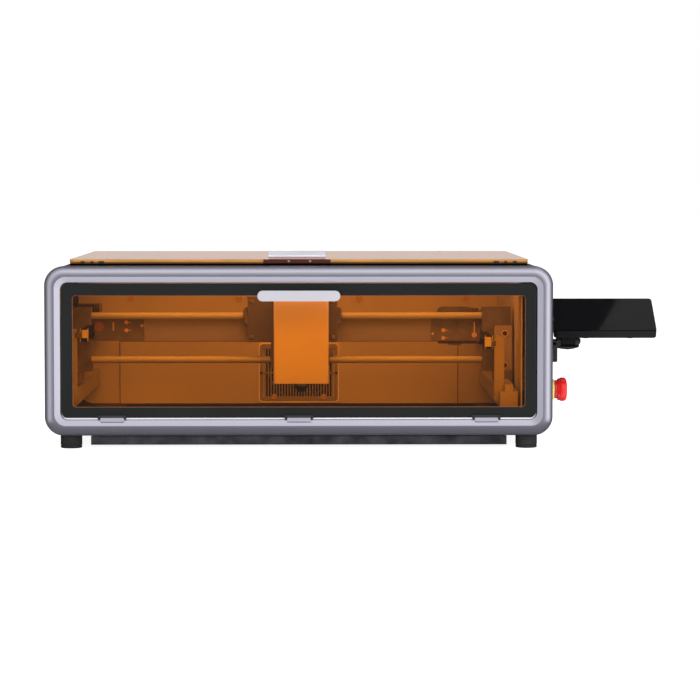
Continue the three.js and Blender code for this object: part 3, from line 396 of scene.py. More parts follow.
class Form:
    """Closed solids gathered into one mesh. Every place is in the case's own millimetres."""

    def __init__(self, material):
        self.mesh = bmesh.new()
        self.materials = [material]

    def take(self, part, material=None, turn=None):
        if turn:
            bmesh.ops.transform(part, matrix=turn, verts=part.verts)
        if material and material not in self.materials:
            self.materials.append(material)
        index = self.materials.index(material) if material else 0
        for face in part.faces:
            face.material_index = index
        bmesh.ops.recalc_face_normals(part, faces=part.faces)
        mesh = bpy.data.meshes.new("part")
        part.to_mesh(mesh)
        part.free()
        self.mesh.from_mesh(mesh)
        bpy.data.meshes.remove(mesh)
        return self

    def block(self, x, y, z, edge=0.4, steps=2, **where):
        part = bmesh.new()
        bmesh.ops.create_cube(part, size=1)
        for vert in part.verts:
            for axis, (low, high) in enumerate((x, y, z)):
                vert.co[axis] = (low + high) / 2 + vert.co[axis] * (high - low)
        soften(part, part.edges[:], edge, steps)
        return self.take(part, **where)

    def prism(self, outline, axis, start, end, edge=0.3, steps=2, **where):
        """An outline drawn across an axis, drawn out along it, with its rims rounded."""
        part = bmesh.new()
        ends = [[part.verts.new(PLANES[axis](u, v, w)) for u, v in outline] for w in (start, end)]
        caps = [part.faces.new(loop) for loop in ends]
        skin(part, ends)
        soften(part, list(dict.fromkeys(rim for cap in caps for rim in cap.edges)), edge, steps)
        return self.take(part, **where)

    def band(self, outer, inner, axis, start, end, edge=0.3, steps=2, **where):
        """A plate between two outlines with the same number of points."""
        part = bmesh.new()
        loops = [
            [part.verts.new(PLANES[axis](u, v, w)) for u, v in outline]
            for outline, w in ((outer, start), (outer, end), (inner, end), (inner, start))
        ]
        skin(part, loops, wrap=True)
        loop_of = {vert: row for row, loop in enumerate(loops) for vert in loop}
        rims = [e for e in part.edges if loop_of[e.verts[0]] == loop_of[e.verts[1]]]
        soften(part, rims, edge, steps)
        return self.take(part, **where)

    def turned(self, profile, axis, middle, steps=48, **where):
        """A profile of (radius, height) points turned round an axis. A third item shapes the radius."""
        part = bmesh.new()
        rows = []
        angles = [TAU * i / steps for i in range(steps)]
        for radius, height, *shape in profile:
            if radius:
                reach = [radius * (shape[0](a) if shape else 1) for a in angles]
                ring = [(r * math.cos(a), r * math.sin(a)) for r, a in zip(reach, angles)]
            else:
                ring = [(0, 0)]
            rows.append([part.verts.new(PLANES[axis](u, v, height)) for u, v in ring])
        skin(part, rows, wrap=profile[0][0] > 0)
        bmesh.ops.translate(part, vec=middle, verts=part.verts)
        return self.take(part, **where)

    def rod(self, axis, middle, radius, start, end, edge=0.4, steps=32, **where):
        """A round bar; start and end are measured from the middle."""
        rim = edge * 0.3
        profile = [
            (0, start), (radius - edge, start), (radius - rim, start + rim), (radius, start + edge),
            (radius, end - edge), (radius - rim, end - rim), (radius - edge, end), (0, end),
        ]
        return self.turned(profile, axis, middle, steps, **where)

    def wire(self, points, radius, steps=10, **where):
        """A round lead through some points."""
        path = smooth_path([Vector(point) for point in points], 6)
        part = bmesh.new()
        side = Vector((0.31, 0.87, 0.37))
        angles = [TAU * k / steps for k in range(steps)]
        rings = []
        for i, place in enumerate(path):
            ahead = (path[min(i + 1, len(path) - 1)] - path[max(i - 1, 0)]).normalized()
            side = (side - ahead * side.dot(ahead)).normalized()
            other = ahead.cross(side)
            ring = [place + (side * math.cos(a) + other * math.sin(a)) * radius for a in angles]
            rings.append([part.verts.new(point) for point in ring])
        skin(part, rings)
        for ring in (rings[0], rings[-1]):
            part.faces.new(ring)
        return self.take(part, **where)

    def screws(self, axis, places, radius=2.6, height=1.6, facing=-1, material=None):
        """Button-head screws with hexagon sockets, seated at some places, their heads to one side."""
        rise = height * facing
        profile = [
            (0, -0.6 * facing), (radius * 0.6, -0.6 * facing), (radius, 0), (radius, rise * 0.35),
            (radius * 0.93, rise * 0.7), (radius * 0.72, rise * 0.96), (radius * 0.55, rise),
            (radius * 0.46, rise, sides(6)), (radius * 0.44, rise * 0.95, sides(6)),
            (radius * 0.44, rise * 0.35, sides(6)), (0, rise * 0.25),
        ]
        for place in places:
            self.turned(profile, axis, place, 24, material=material)
        return self

    def loose_object(self, name):
        mesh = bpy.data.meshes.new(name)
        self.mesh.to_mesh(mesh)
        for material in self.materials:
            mesh.materials.append(material)
        piece = bpy.data.objects.new(name, mesh)
        bpy.context.scene.collection.objects.link(piece)
        return piece

    def carve(self, cutter):
        """Cuts another form out of this one."""
        piece, tool = self.loose_object("piece"), cutter.loose_object("tool")
        cut = piece.modifiers.new("cut", "BOOLEAN")
        cut.object = tool
        cut.solver = "EXACT"
        cut.use_self = True
        result = piece.evaluated_get(bpy.context.evaluated_depsgraph_get()).to_mesh()
        self.mesh.clear()
        self.mesh.from_mesh(result)
        bmesh.ops.dissolve_degenerate(self.mesh, edges=self.mesh.edges, dist=1e-4)
        for loose in (piece, tool):
            mesh = loose.data
            bpy.data.objects.remove(loose)
            bpy.data.meshes.remove(mesh)
        cutter.mesh.free()

    def make(self, name, body, slot, *stands_for, sharp=32, turn=None):
        """Turns the form into a piece of the scene, which rides on a body and may replace CAD nodes."""
        if turn:
            bmesh.ops.transform(self.mesh, matrix=turn, verts=self.mesh.verts)
        for vert in self.mesh.verts:
            vert.co = at(*vert.co)
        piece = self.loose_object(name)
        self.mesh.free()
        piece.data.polygons.foreach_set("use_smooth", [True] * len(piece.data.polygons))
        piece.data.set_sharp_from_angle(angle=math.radians(sharp))
        weighted = piece.modifiers.new("normals", "WEIGHTED_NORMAL")
        weighted.keep_sharp = True
        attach(piece, body)
        if stands_for:
            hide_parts(*stands_for)


def smooth_path(points, steps):
    """A Catmull-Rom curve through the points."""
    path = []
    for i in range(len(points) - 1):
        p0, p1 = points[max(i - 1, 0)], points[i]
        p2, p3 = points[i + 1], points[min(i + 2, len(points) - 1)]
        for k in range(steps):
            t = k / steps
            path.append(
                0.5 * ((2 * p1) + (p2 - p0) * t + (2 * p0 - 5 * p1 + 4 * p2 - p3) * t**2
                       + (3 * p1 - p0 - 3 * p2 + p3) * t**3)
            )
    path.append(points[-1])
    return path


def turned_about(place, axis, degrees):
    shift = Matrix.Translation(Vector(place))
    return shift @ Matrix.Rotation(math.radians(degrees), 4, axis) @ shift.inverted()


# ---------------------------------------------------------------- carried-over CAD nodes


def dress(node, material, edge=0.0):
    """Gives a CAD node its finish, and small rounds on its edges."""
    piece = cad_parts[node]
    piece.data.materials.clear()
    piece.data.materials.append(material)
    for face in piece.data.polygons:
        face.use_smooth = True
    if edge:
        bevel = piece.modifiers.new("edges", "BEVEL")
        bevel.width = edge * MM
        bevel.segments = 2
        bevel.limit_method = "ANGLE"
        bevel.angle_limit = math.radians(38)
        bevel.harden_normals = True
    return piece


CARRIED = {
    SHELL: [
        "left_side_shell", "right_side_shell", "rear_panel", "top_front_rail", "top_rear_rail", "base_frame",
    ],
    TRAY: ["base_tray"],
    WALL: ["rear_inner_panel", "electronics_partition"],
    ANODISED: ["gantry_end_left", "gantry_end_right"],
    AMBER_DOOR: ["door_window"],
    STEEL: ["lid_hinge_leaf_left", "lid_hinge_leaf_right"],
    RAIL_STEEL: ["y_rail_left", "y_rail_right"],
    BEAM: ["gantry_beam"],
    LENS: ["laser_lens"],
}
for material, nodes in CARRIED.items():
    for node in nodes:
        dress(node, material, 0 if material in (AMBER_DOOR, LENS) else 0.35)


# ---------------------------------------------------------------- case

BEZEL_RING = 18
BEZEL_DEEP = 26
BEZEL_CREST = 11.5
BEZEL_BAND_DEEP = 10
DOOR_PIN = {"y": 3, "z": 35.6, "lugs": (-208, 0, 209), "half": 13, "radius": 2.3}


def face_outline(low, high, radius, inset=0.0, steps=8):
    """The rounded outline of a box seen from the front."""
    return rounded_rect(low.x + inset, high.x - inset, low.z + inset, high.z - inset, radius, steps)


def swept_frame(form, profile, outer_radius, inner_radius, corner_steps):
    """A closed profile of (inset, y) points carried round the case's rounded outline."""
    low, high = span("front_bezel")
    depth = max(inset for inset, _ in profile)
    part = bmesh.new()
    rows = []
    for inset, y in profile:
        radius = outer_radius - (outer_radius - inner_radius) * inset / depth
        outline = face_outline(low, high, radius, inset, corner_steps)
        rows.append([part.verts.new((u, y, v)) for u, v in outline])
    skin(part, rows, wrap=True)
    return form.take(part)


def add_bezel():
    """The ring round the door: a rounded band, a chamfer down to the door, and the hinge lugs."""
    profile = [(0.7, BEZEL_DEEP), (0, BEZEL_DEEP - 0.7)]
    steps = 18
    for i in range(steps + 1):
        angle = math.pi / 2 * i / steps
        profile.append((BEZEL_CREST * (1 - math.cos(angle)), BEZEL_BAND_DEEP * (1 - math.sin(angle))))
    profile += [(17.4, 2.9), (17.85, 3.3), (BEZEL_RING, 3.9), (BEZEL_RING, BEZEL_DEEP)]
    form = swept_frame(Form(BEZEL), profile, 21.5, 8, 20)
    y, z, radius = DOOR_PIN["y"], DOOR_PIN["z"], DOOR_PIN["radius"]
    lip_top = span("front_bezel")[0].z + BEZEL_RING
    for x in DOOR_PIN["lugs"]:
        ends = about(x, DOOR_PIN["half"])
        form.prism(arc(y, z, radius, -15, 195, 16), "x", *ends, material=PLASTIC)
        form.block(ends, (y - radius + 0.1, y + radius), (lip_top - 2, z - 0.5), 0.3, material=LUG)
    form.make("bezel_ring", "case", "bezel_paint", "front_bezel", sharp=24)


def dress_hinge_rail():
    """The light strip along the door's bottom edge, its ears and pins blackened."""
    rail = dress("door_hinge_rail", LIGHT)
    rail.data.materials.append(PLASTIC)
    reach = (DOOR_PIN["half"] + 3.2) * MM
    lugs = [at(x, 0, 0).x for x in DOOR_PIN["lugs"]]
    for face in rail.data.polygons:
        corners = [rail.matrix_world @ rail.data.vertices[i].co for i in face.vertices]
        if any(all(abs(corner.x - x) < reach for corner in corners) for x in lugs):
            face.material_index = 1


def add_feet():
    """Turned rubber feet with a screw sunk in the sole."""
    for row, side in itertools.product(("front", "rear"), ("left", "right")):
        node = f"foot_{row}_{side}"
        low, high = span(node)
        x, y, top, r = (low.x + high.x) / 2, (low.y + high.y) / 2, high.z, (high.x - low.x) / 2
        profile = [
            (0, 1.4), (3.4, 1.4), (3.8, 1.0), (3.8, 0.5), (8.6, 0.5), (9.0, 0), (r - 1.4, 0),
            (r - 0.5, 0.35), (r - 0.1, 1.1), (r - 0.1, 2.6), (r - 0.55, 2.9), (r - 0.55, 3.5),
            (r - 0.1, 3.8), (r, 4.4), (r, top - 1), (r - 0.5, top), (0, top),
        ]
        form = Form(RUBBER).turned(profile, "z", (x, y, 0), 56)
        form.screws("z", [(x, y, 1.5)], 3.2, 1.3, -1, STEEL)
        form.make(f"rubber_{node}", "case", "rubber_foot", node)


def add_case_screws():
    """Fasteners of the shells, the rear panel and the chamber's walls, and painted shadow along the wall's
    panel seam.
    """
    low, high = span("rear_panel")
    edges = (low.x + 12, -130, 110, high.x - 12)
    form = Form(STEEL_DARK).screws("y", grid(edges, high.y, (low.z + 9, high.z - 9)), 2.7, 1.5, 1)
    form.screws("y", grid((low.x + 7, high.x - 7), high.y, (low.z + high.z) / 2), 2.7, 1.5, 1)
    form.make("rear_panel_screws", "case", "black_metal")
    for side, sign in (("left", -1), ("right", 1)):
        low, high = span(f"{side}_side_shell")
        x = low.x if sign < 0 else high.x
        form = Form(STEEL_DARK).screws("x", grid(x, (52, 240, 436), (34, 186)), 2.7, 1.4, sign)
        form.make(f"side_screws_{side}", "case", "black_metal")
    wall_front = span("rear_inner_panel")[0].y + 1.5
    form = Form(BRASS)
    washer = [
        (0, -0.2), (2.2, -0.2), (2.3, -0.5), (2.5, -0.9), (3.4, -1.2), (4.2, -0.9), (4.4, 0.3), (0, 0.3),
    ]
    for x in (-213, -77, 74, 209):
        form.turned(washer, "y", (x, wall_front, 151.5), 28)
        form.screws("y", [(x, wall_front - 0.3, 151.5)], 2.1, 1.2)
    form.make("chamber_wall_fasteners", "case", "aluminium")
    # painted shadow: thin dark strips just outside the raised panel's edges, where its step casts shade
    left, right, bottom, top = -226.7, 198, 19, 96
    depth = (wall_front - 0.5, wall_front + 0.1)
    form = Form(PANEL_STEP_SHADOW).block((left - 1, left - 0.1), depth, (bottom, top), 0)
    form.block((right + 0.1, right + 1), depth, (bottom, top), 0)
    form.block((left - 1, right + 1), depth, (top + 0.1, top + 1), 0)
    form.make("chamber_panel_seam_shadow", "case", "inner_sheet")


def add_seals():
    """A near-black seal under the lid's front edge, its darkness painted shade for the gap there, and a brush
    strip over the back of the tray.
    """
    low, high = span("lid_window")
    rail = span("top_front_rail")[1].z
    # painted shade: the near-black seal block fills the shaded gap between the lid's front edge and the rail
    form = Form(GASKET_AND_GAP_SHADE)
    form.block((low.x + 1, high.x - 1), (low.y + 0.4, low.y + 6), (rail - 0.3, low.z - 0.3), 0.5, 3)
    form.make("lid_seal_front_gap_shade", "case", "rubber_foot")
    high = span("base_tray")[1]
    under_floor = span("base_frame")[1].z - 2.5
    form = Form(RUBBER).block((-222, 222), (high.y - 4, high.y - 1), (high.z + 0.2, under_floor), 0.2)
    form.make("tray_brush_strip", "case", "rubber_foot")


# ---------------------------------------------------------------- door and lid

WINDOW_LOW, WINDOW_HIGH, WINDOW_RADIUS = Vector((-252, 0, 46.5)), Vector((252.5, 0, 171.2)), 3.5


def add_door():
    """The black border with its clear opening, a thin amber lip round the opening with a faint painted glint,
    and the handle.
    """
    low, high = span("door_frame")
    opening = face_outline(WINDOW_LOW, WINDOW_HIGH, WINDOW_RADIUS)
    form = Form(BLACK_GLASS).band(face_outline(low, high, 7.2), opening, "y", low.y, high.y, 0.35, 3)
    form.make("door_border", "front_door", "black_gloss", "door_frame")
    # painted glint: the amber lip round the opening glows faintly, for the light outline at the window's edge
    lip = 0.55
    rims = [
        face_outline(WINDOW_LOW, WINDOW_HIGH, WINDOW_RADIUS - inset, inset) for inset in (-lip, lip)
    ]
    form = Form(AMBER_RIM_PAINTED_GLOW).band(*rims, "y", high.y - 1.2, high.y - 0.1, 0.2)
    form.make("door_window_rim_glint", "front_door", "amber_acrylic")
    low, high = span("door_handle")
    half, middle = (high.z - low.z) / 2, (high.z + low.z) / 2
    outline = arc(high.x - half, middle, half, -90, 90, 20) + arc(low.x + half, middle, half, 90, 270, 20)
    form = Form(HANDLE).prism(outline, "y", low.y, high.y, 1.7, 6)
    form.make("door_handle_bar", "front_door", "light_metal", "door_handle")


def add_lid():
    """The amber sheet with painted glow on its edges and a painted-shade strip along the lower part of its
    front edge, its handle in a clamp, its pads and its hinge screws.
    """
    sheet_low, sheet_high = low, high = span("lid_window")
    outline = rounded_rect(low.x, high.x, low.y, high.y, 8, 12)
    form = Form(AMBER_LID).prism(outline, "z", low.z, high.z, 0.35, 3)
    form.materials.append(AMBER_EDGE_PAINTED_GLOW)
    # the sheet's side faces take the edge finish, whose emission is painted glow
    form.mesh.normal_update()
    for face in form.mesh.faces:
        face.material_index = 1 if abs(face.normal.z) < 0.6 else 0
    form.make("lid_sheet", "top_lid", "amber_acrylic", "lid_window")
    # painted shade: a darker amber strip over the lower part of the sheet's front edge
    form = Form(AMBER_LOWER_EDGE_SHADE)
    form.block((low.x + 1, high.x - 1), (low.y - 0.25, low.y + 4), (low.z - 0.3, low.z + 1.6), 0.2)
    form.make("lid_lower_edge_shade", "top_lid", "amber_acrylic")
    low, high = span("lid_handle")
    front, top, back, seat = low.y, high.z, high.y, sheet_high.z + 0.3
    wedge = [
        (front + 2.2, seat + 2.4), (back, seat + 2.4), (back, top - 1.6), (back - 1.6, top - 0.6),
        (back - 4.4, top), (front + 3.6, seat + 4.6), (front + 2.4, seat + 4.1),
    ]
    form = Form(LIGHT).prism(wedge, "x", low.x, high.x, 0.7, 4)
    base = [(front + 1.6, seat), (back - 0.6, seat), (back - 0.6, seat + 2.6), (front + 3, seat + 2.6)]
    form.prism(base, "x", low.x + 0.4, high.x - 0.4, material=ROSE)
    form.make("lid_handle_wedge", "top_lid", "light_metal", "lid_handle")
    clamp_back = 41.8
    form = Form(BROWN)
    form.block((low.x - 5.5, high.x + 5.5), (front, clamp_back), (low.z, seat - 0.4), 0.5, 3)
    form.screws("y", grid((-11.5, 12.5), front + 0.1, low.z + 2.4), 1.3, 0.5, -1, STEEL)
    form.make("lid_handle_clamp", "top_lid", "black_plastic")
    form = Form(PLASTIC)
    pad_depth, pad_height = (sheet_low.y - 0.4, 46), (sheet_low.z - 0.9, sheet_low.z + 2.3)
    for side in (-1, 1):
        for i, width in enumerate((4.6, 3.2, 6.4)):
            form.block(about(side * (243 - i * 10.5), width / 2), pad_depth, pad_height, 0.3)
    form.make("lid_pads", "top_lid", "black_plastic")
    form = Form(LIGHT)
    head = [
        (0, -0.5), (4.6, -0.5), (4.6, 0.1), (4.2, 0.3), (2.3, 0.35), (2.1, 0.35, sides(6)),
        (2.0, -0.2, sides(6)), (0, -0.3),
    ]
    for leaf, screw in grid((-190, 190), (-13, 13)):
        form.turned(head, "z", (leaf + screw, 431, sheet_high.z), 28)
    form.make("lid_hinge_screws", "top_lid", "black_metal")


# ---------------------------------------------------------------- drives

BELT_PITCH = 2


def add_belt(name, node, body, axis):
    """A toothed belt round two wheels of the same size that turn about an axis."""
    low, high = span(node)
    radius = (high.z - low.z) / 2
    middle_z = (high.z + low.z) / 2
    ends, sides_of_belt = ((low.x, high.x), (low.y, high.y))[:: 1 if axis == "y" else -1]
    first, last = ends[0] + radius, ends[1] - radius
    straight, bend = last - first, math.pi * radius
    length = 2 * (straight + bend)
    count = round(length / BELT_PITCH) * 4
    outer, inner = [], []
    for i in range(count):
        s = length * i / count
        depth = 0.9 if i % 4 in (1, 2) else 0.45
        if s < straight:
            place, turn = last - s, math.pi / 2
        elif s < straight + bend:
            place, turn = first, math.pi / 2 + (s - straight) / radius
        elif s < 2 * straight + bend:
            place, turn = first + s - straight - bend, -math.pi / 2
        else:
            place, turn = last, -math.pi / 2 + (s - 2 * straight - bend) / radius
        for points, reach in ((outer, radius), (inner, radius - depth)):
            points.append((place + math.cos(turn) * reach, middle_z + math.sin(turn) * reach))
    Form(BELT).band(outer, inner, axis, *sides_of_belt, 0).make(name, body, "belt_rubber", node, sharp=20)


def add_wheel(node, body, axis):
    """A toothed belt wheel with two flanges and a bore."""
    low, high = span(node)
    reach = (high.y - low.y) / 2 if axis == "y" else (high.x - low.x) / 2
    groove = reach - 1.2
    cog = teeth(20, 0.11)
    rim = (high.z - low.z) / 2
    profile = [
        (2.8, -reach + 0.3), (3.1, -reach), (rim - 0.5, -reach), (rim, -reach + 0.4),
        (rim, -groove - 0.4), (6.2, -groove), (5.95, -groove, cog), (5.95, groove, cog), (6.2, groove),
        (rim, groove + 0.4), (rim, reach - 0.4), (rim - 0.5, reach), (3.1, reach), (2.8, reach - 0.3),
    ]
    form = Form(ALUMINIUM_WHEEL).turned(profile, axis, centre(node), 120)
    form.make(f"toothed_{node}", body, "aluminium", node)


def add_motor(node, body, length, shaft, turn):
    """A square stepper motor. It is drawn facing +Z with its mounting face at z = 0, then turned."""
    side, corner, cap, plate = 21, 17, 7, 1.1
    outline = [
        (-corner, -side), (corner, -side), (side, -corner), (side, corner), (corner, side),
        (-corner, side), (-side, corner), (-side, -corner),
    ]
    inset = [(u * 0.985, v * 0.985) for u, v in outline]
    form = Form(MOTOR)
    form.prism(outline, "z", -cap, 0, 0.6, 3, material=MOTOR_CAP)
    form.prism(outline, "z", -length, -length + cap, 0.6, 3, material=MOTOR_CAP)
    stack = length - 2 * cap
    laminations = max(3, round(stack / plate))
    pitch = stack / laminations
    for i in range(laminations):
        start = -length + cap + i * pitch
        form.prism(inset, "z", start, start + pitch * 0.86, 0.12, 1)
    form.prism([(u * 0.97, v * 0.97) for u, v in outline], "z", -length + cap - 0.5, -cap + 0.5, 0)
    flange = [(0, -0.5), (11, -0.5), (11, 1.2), (10.6, 1.6), (4.2, 1.6), (4.0, 0.9), (0, 0.9)]
    form.turned(flange, "z", (0, 0, 0), 56, material=MOTOR_CAP)
    form.rod("z", (0, 0, 0), 2.5, -1, shaft, material=STEEL)
    form.screws("z", grid((-15.5, 15.5), (-15.5, 15.5), -length + 0.2), 2.6, 1.4, -1, STEEL)
    form.block((-8, 8), (-24, -20.5), (-length + 1, -length + 9), 0.5, material=PLASTIC_WHITE)
    form.make(f"stepper_{node}", body, "motor_case", node, turn=turn)


def add_drives():
    add_belt("toothed_x_belt", "x_belt", "gantry", "y")
    add_wheel("x_pulley", "x_drive_pulley", "y")
    add_wheel("x_idler", "x_idler_wheel", "y")
    for side in ("left", "right"):
        add_belt(f"toothed_y_belt_{side}", f"y_belt_{side}", "case", "x")
        add_wheel(f"y_pulley_{side}", f"y_drive_pulley_{side}", "x")
        add_wheel(f"y_idler_{side}", f"y_idler_wheel_{side}", "x")
    y_shaft, x_shaft = 11.5, 11
    for side, facing in (("left", 1), ("right", -1)):
        low, high = span(f"y_motor_{side}")
        face = high.x - y_shaft if facing > 0 else low.x + y_shaft
        length = face - low.x if facing > 0 else high.x - face
        middle = centre(f"y_motor_{side}")
        turn = Matrix.Translation((face, middle.y, middle.z)) @ Matrix.Rotation(facing * math.pi / 2, 4, "Y")
        add_motor(f"y_motor_{side}", "case", length, y_shaft, turn)
    low, high = span("x_motor")
    face = low.y + x_shaft
    middle = centre("x_motor")
    turn = Matrix.Translation((middle.x, face, middle.z)) @ Matrix.Rotation(math.pi / 2, 4, "X")
    add_motor("x_motor", "gantry", high.y - face, x_shaft, turn)


# ---------------------------------------------------------------- gantry

HEAD_LOW, HEAD_HIGH = span("laser_cover")
HEAD_X = (HEAD_LOW.x + HEAD_HIGH.x) / 2
FAN_Y = 99
PLATE_FRONT = 161


def add_rods():
    for name in ("upper", "lower"):
        node = f"x_rod_{name}"
        low, high = span(node)
        half = (high.x - low.x) / 2
        form = Form(ROD_STEEL).rod("x", centre(node), (high.z - low.z) / 2, -half, half, 0.6, 64)
        form.make(f"guide_rod_{name}", "gantry", "polished_steel", node)


def add_gantry_details():
    """Screws, clips and the short leads of the end sensors on the gantry's ends, and a tension wheel."""
    form = Form(BRASS)
    for x, middle in ((-201.7, 129.1), (167.9, 119.8)):
        for z in about(middle, 4.5):
            form.screws("y", [(x, PLATE_FRONT, z)], 2.3, 0.6)
            lead = [(1, -0.2, 0), (2.6, -0.3, 0.2), (4.2, -0.2, 0.1), (5.4, 0.4, -0.4)]
            form.wire([(x + u, PLATE_FRONT + v, z + w) for u, v, w in lead], 0.4, 8)
    form.screws("y", [(-183.4, PLATE_FRONT, 130), (155.4, PLATE_FRONT, 120.4)], 1.6, 0.6)
    for x, low in ((-216.7, 124.2), (204, 122.4)):
        form.block(about(x, 0.8), (PLATE_FRONT - 0.6, PLATE_FRONT + 0.5), (low, 134.1), 0.2)
    form.prism(arc(204, 119, 3.2, 0, 360, 20)[:-1], "y", PLATE_FRONT - 0.6, PLATE_FRONT + 0.3, 0.2)
    form.make("gantry_end_fasteners", "gantry", "black_metal")
    wheel = [(1.6, 0), (6.2, 0, teeth(18, 0.16)), (6.2, 2, teeth(18, 0.16)), (1.6, 2)]
    place = (-233.5, PLATE_FRONT - 0.2, 129.1)
    form = Form(BRASS_DARK).turned(wheel, "y", place, 108)
    form.turned([(0, -0.4), (1.6, -0.4), (1.9, 0), (1.9, 2.6), (0, 2.6)], "y", place, 24)
    form.make("tension_wheel", "gantry", "black_metal")


def add_belt_guards():
    """A bright bent plate in front of each front belt wheel, held by the wheel's post."""
    for side, inward, ends, post_x, low, high in (
        ("left", 1, (-244.9, -237.8), -252, 121.3, 130.8),
        ("right", -1, (209.6, 217.2), 222, 111.3, 122.4),
    ):
        form = Form(ALUMINIUM_WHEEL).block(ends, (48.6, 50), (low, high), 0.5, 3)
        bar = {"z": (low + 1, low + 6), "edge": 0.3, "material": ANODISED}
        form.block(sorted((post_x, sum(ends) / 2)), (49.6, 50.8), **bar)
        form.block(sorted((post_x, post_x + 1.2 * inward)), (49.6, 54), **bar)
        form.make(f"belt_guard_{side}", "case", "aluminium")


def add_gantry_covers():
    """The light cover over the right slider, with its two ringed screws."""
    x, face = 238, 134.7
    ring = [(0, 0.4), (4.1, 0.4), (4.1, -0.7), (3.7, -1.2), (3.0, -1.2), (2.6, -0.5), (0, -0.5)]
    form = Form(BRASS)
    for z in (122, 85):
        form.turned(ring, "y", (x, face, z), 32)
    form.screws("y", grid(x, face - 0.3, (122, 85)), 2.1, 1.0, -1, STEEL_DARK)
    form.make("slider_cover_screws", "gantry", "aluminium")
    form = Form(GREY_PANEL).prism(rounded_rect(225.6, 246, 79, 131.4, 2.2), "y", 134.6, 135.5)
    form.make("slider_cover_face", "gantry", "inner_sheet")


def dovetail(narrow, narrow_y, wide, wide_y):
    """The section of the slide between the carriage and the head, seen from above."""
    near = [(HEAD_X - narrow, narrow_y), (HEAD_X + narrow, narrow_y)]
    return near + [(HEAD_X + wide, wide_y), (HEAD_X - wide, wide_y)]


def add_carriage():
    """Two bearing blocks in a dark plate, with round bearing seals, the slide and the belt clamp."""
    rod_y, upper, lower, half = 150, 142, 91, 9.5
    front, back = 136, 160
    wide, narrow = (-64, 48), (-33, 34)
    form = Form(ANODISED)
    for z, ends in ((upper, wide), (lower, narrow)):
        form.block(ends, (139, back), about(z, half), 1.2, 3)
    form.block((-60, 44), (front, 140.3), (112, span("x_carriage")[1].z), 1.0, 3)
    form.block(narrow, (front, 140.3), (lower - half, 113), 0.8, 3)
    form.prism(dovetail(9, 136.5, 12, 131), "z", 85, 160, material=ALUMINIUM)
    seal = [(4.25, 1.1), (6.9, 1.1), (7.4, 0.7), (7.4, -0.8), (4.25, -0.8)]
    for z, ends in ((upper, wide), (lower, narrow)):
        for end, facing in zip(ends, (-1, 1)):
            outward = [(radius, height * facing) for radius, height in seal]
            form.turned(outward, "x", (end, rod_y, z), 40, material=ALUMINIUM)
    form.block((-10, 10), (159, 175.5), (139.3, 142))
    form.block((-10, 10), (167.5, 175.5), (136.6, 140), 0.3)
    form.screws("y", grid((-55, 39), front, (118, 159)), 2.3, 1.5, -1, STEEL)
    form.screws("y", grid((-40, -22, 10, 28), back, upper), 2.2, 1.5, 1, STEEL)
    bores = Form(ANODISED)
    for z in (upper, lower):
        bores.rod("x", (0, rod_y, z), 4.3, -90, 90, 0.1, 40)
    form.carve(bores)
    form.make("carriage_block", "carriage", "black_metal", "x_carriage")


# ---------------------------------------------------------------- fans


def fan_blades(form, count, hub, tip, depth, cover, axis, middle):
    """Curved blades, each a lofted wing section that twists and sweeps from hub to tip.

    `cover` is the share of the swept ring that the blades hide, seen along the axis.
    """
    stations, chord_points, sweep, root = 7, 7, 24, hub - 0.6
    chord = [k / chord_points for k in range(chord_points + 1)]
    outline = [(c, 1) for c in chord] + [(c, -1) for c in reversed(chord[1:-1])]
    for blade in range(count):
        part = bmesh.new()
        rows = []
        for s in range(stations + 1):
            t = s / stations
            radius = root + (tip - root) * t
            tilt = math.atan(cover * TAU * radius / (count * depth))
            width = depth / math.cos(tilt)
            heading = TAU * blade / count + math.radians(sweep) * t * t
            row = []
            for c, face in outline:
                fullness = 1 - (2 * c - 1) ** 2
                rise = 0.16 * width * fullness + face * 0.5 * (0.35 + 1.3 * fullness)
                along = (c - 0.5) * width
                angle = heading + (along * math.sin(tilt) + rise * math.cos(tilt)) / radius
                high = along * math.cos(tilt) - rise * math.sin(tilt)
                place = PLANES[axis](radius * math.cos(angle), radius * math.sin(angle), high)
                row.append(part.verts.new(place))
            rows.append(row)
        skin(part, rows)
        for row in (rows[0], rows[-1]):
            part.faces.new(row)
        bmesh.ops.translate(part, vec=middle, verts=part.verts)
        form.take(part)


def add_fan(node, name, body, axis, hub, cover):
    """A fan's hub, shaft and nine blades; its open face looks forwards or upwards."""
    low, high = span(node)
    size = high - low
    tip = (size.z if axis == "y" else size.x) / 2
    half = (size.y if axis == "y" else size.z) / 2
    face = -1 if axis == "y" else 1
    bore = 2.4
    hub_profile = [
        (bore, -half), (hub - 0.8, -half), (hub, -half + 0.8), (hub, half - 1.4), (hub - 0.5, half - 0.5),
        (hub - 1.6, half), (hub * 0.62, half), (hub * 0.6, half - 0.35), (hub * 0.3, half - 0.35),
        (bore, half - 0.35),
    ]
    shaft_profile = [(0, 0), (2.3, 0), (2.3, half - 0.2), (1.9, half), (0, half)]
    form = Form(PLASTIC)
    for profile, steps, material in ((hub_profile, 64, PLASTIC), (shaft_profile, 24, STEEL)):
        form.turned([(r, h * face) for r, h in profile], axis, centre(node), steps, material=material)
    fan_blades(form, 9, hub, tip - 0.4, 2 * half - 4, cover, axis, centre(node))
    form.make(name, body, "black_plastic", node)


# ---------------------------------------------------------------- laser head


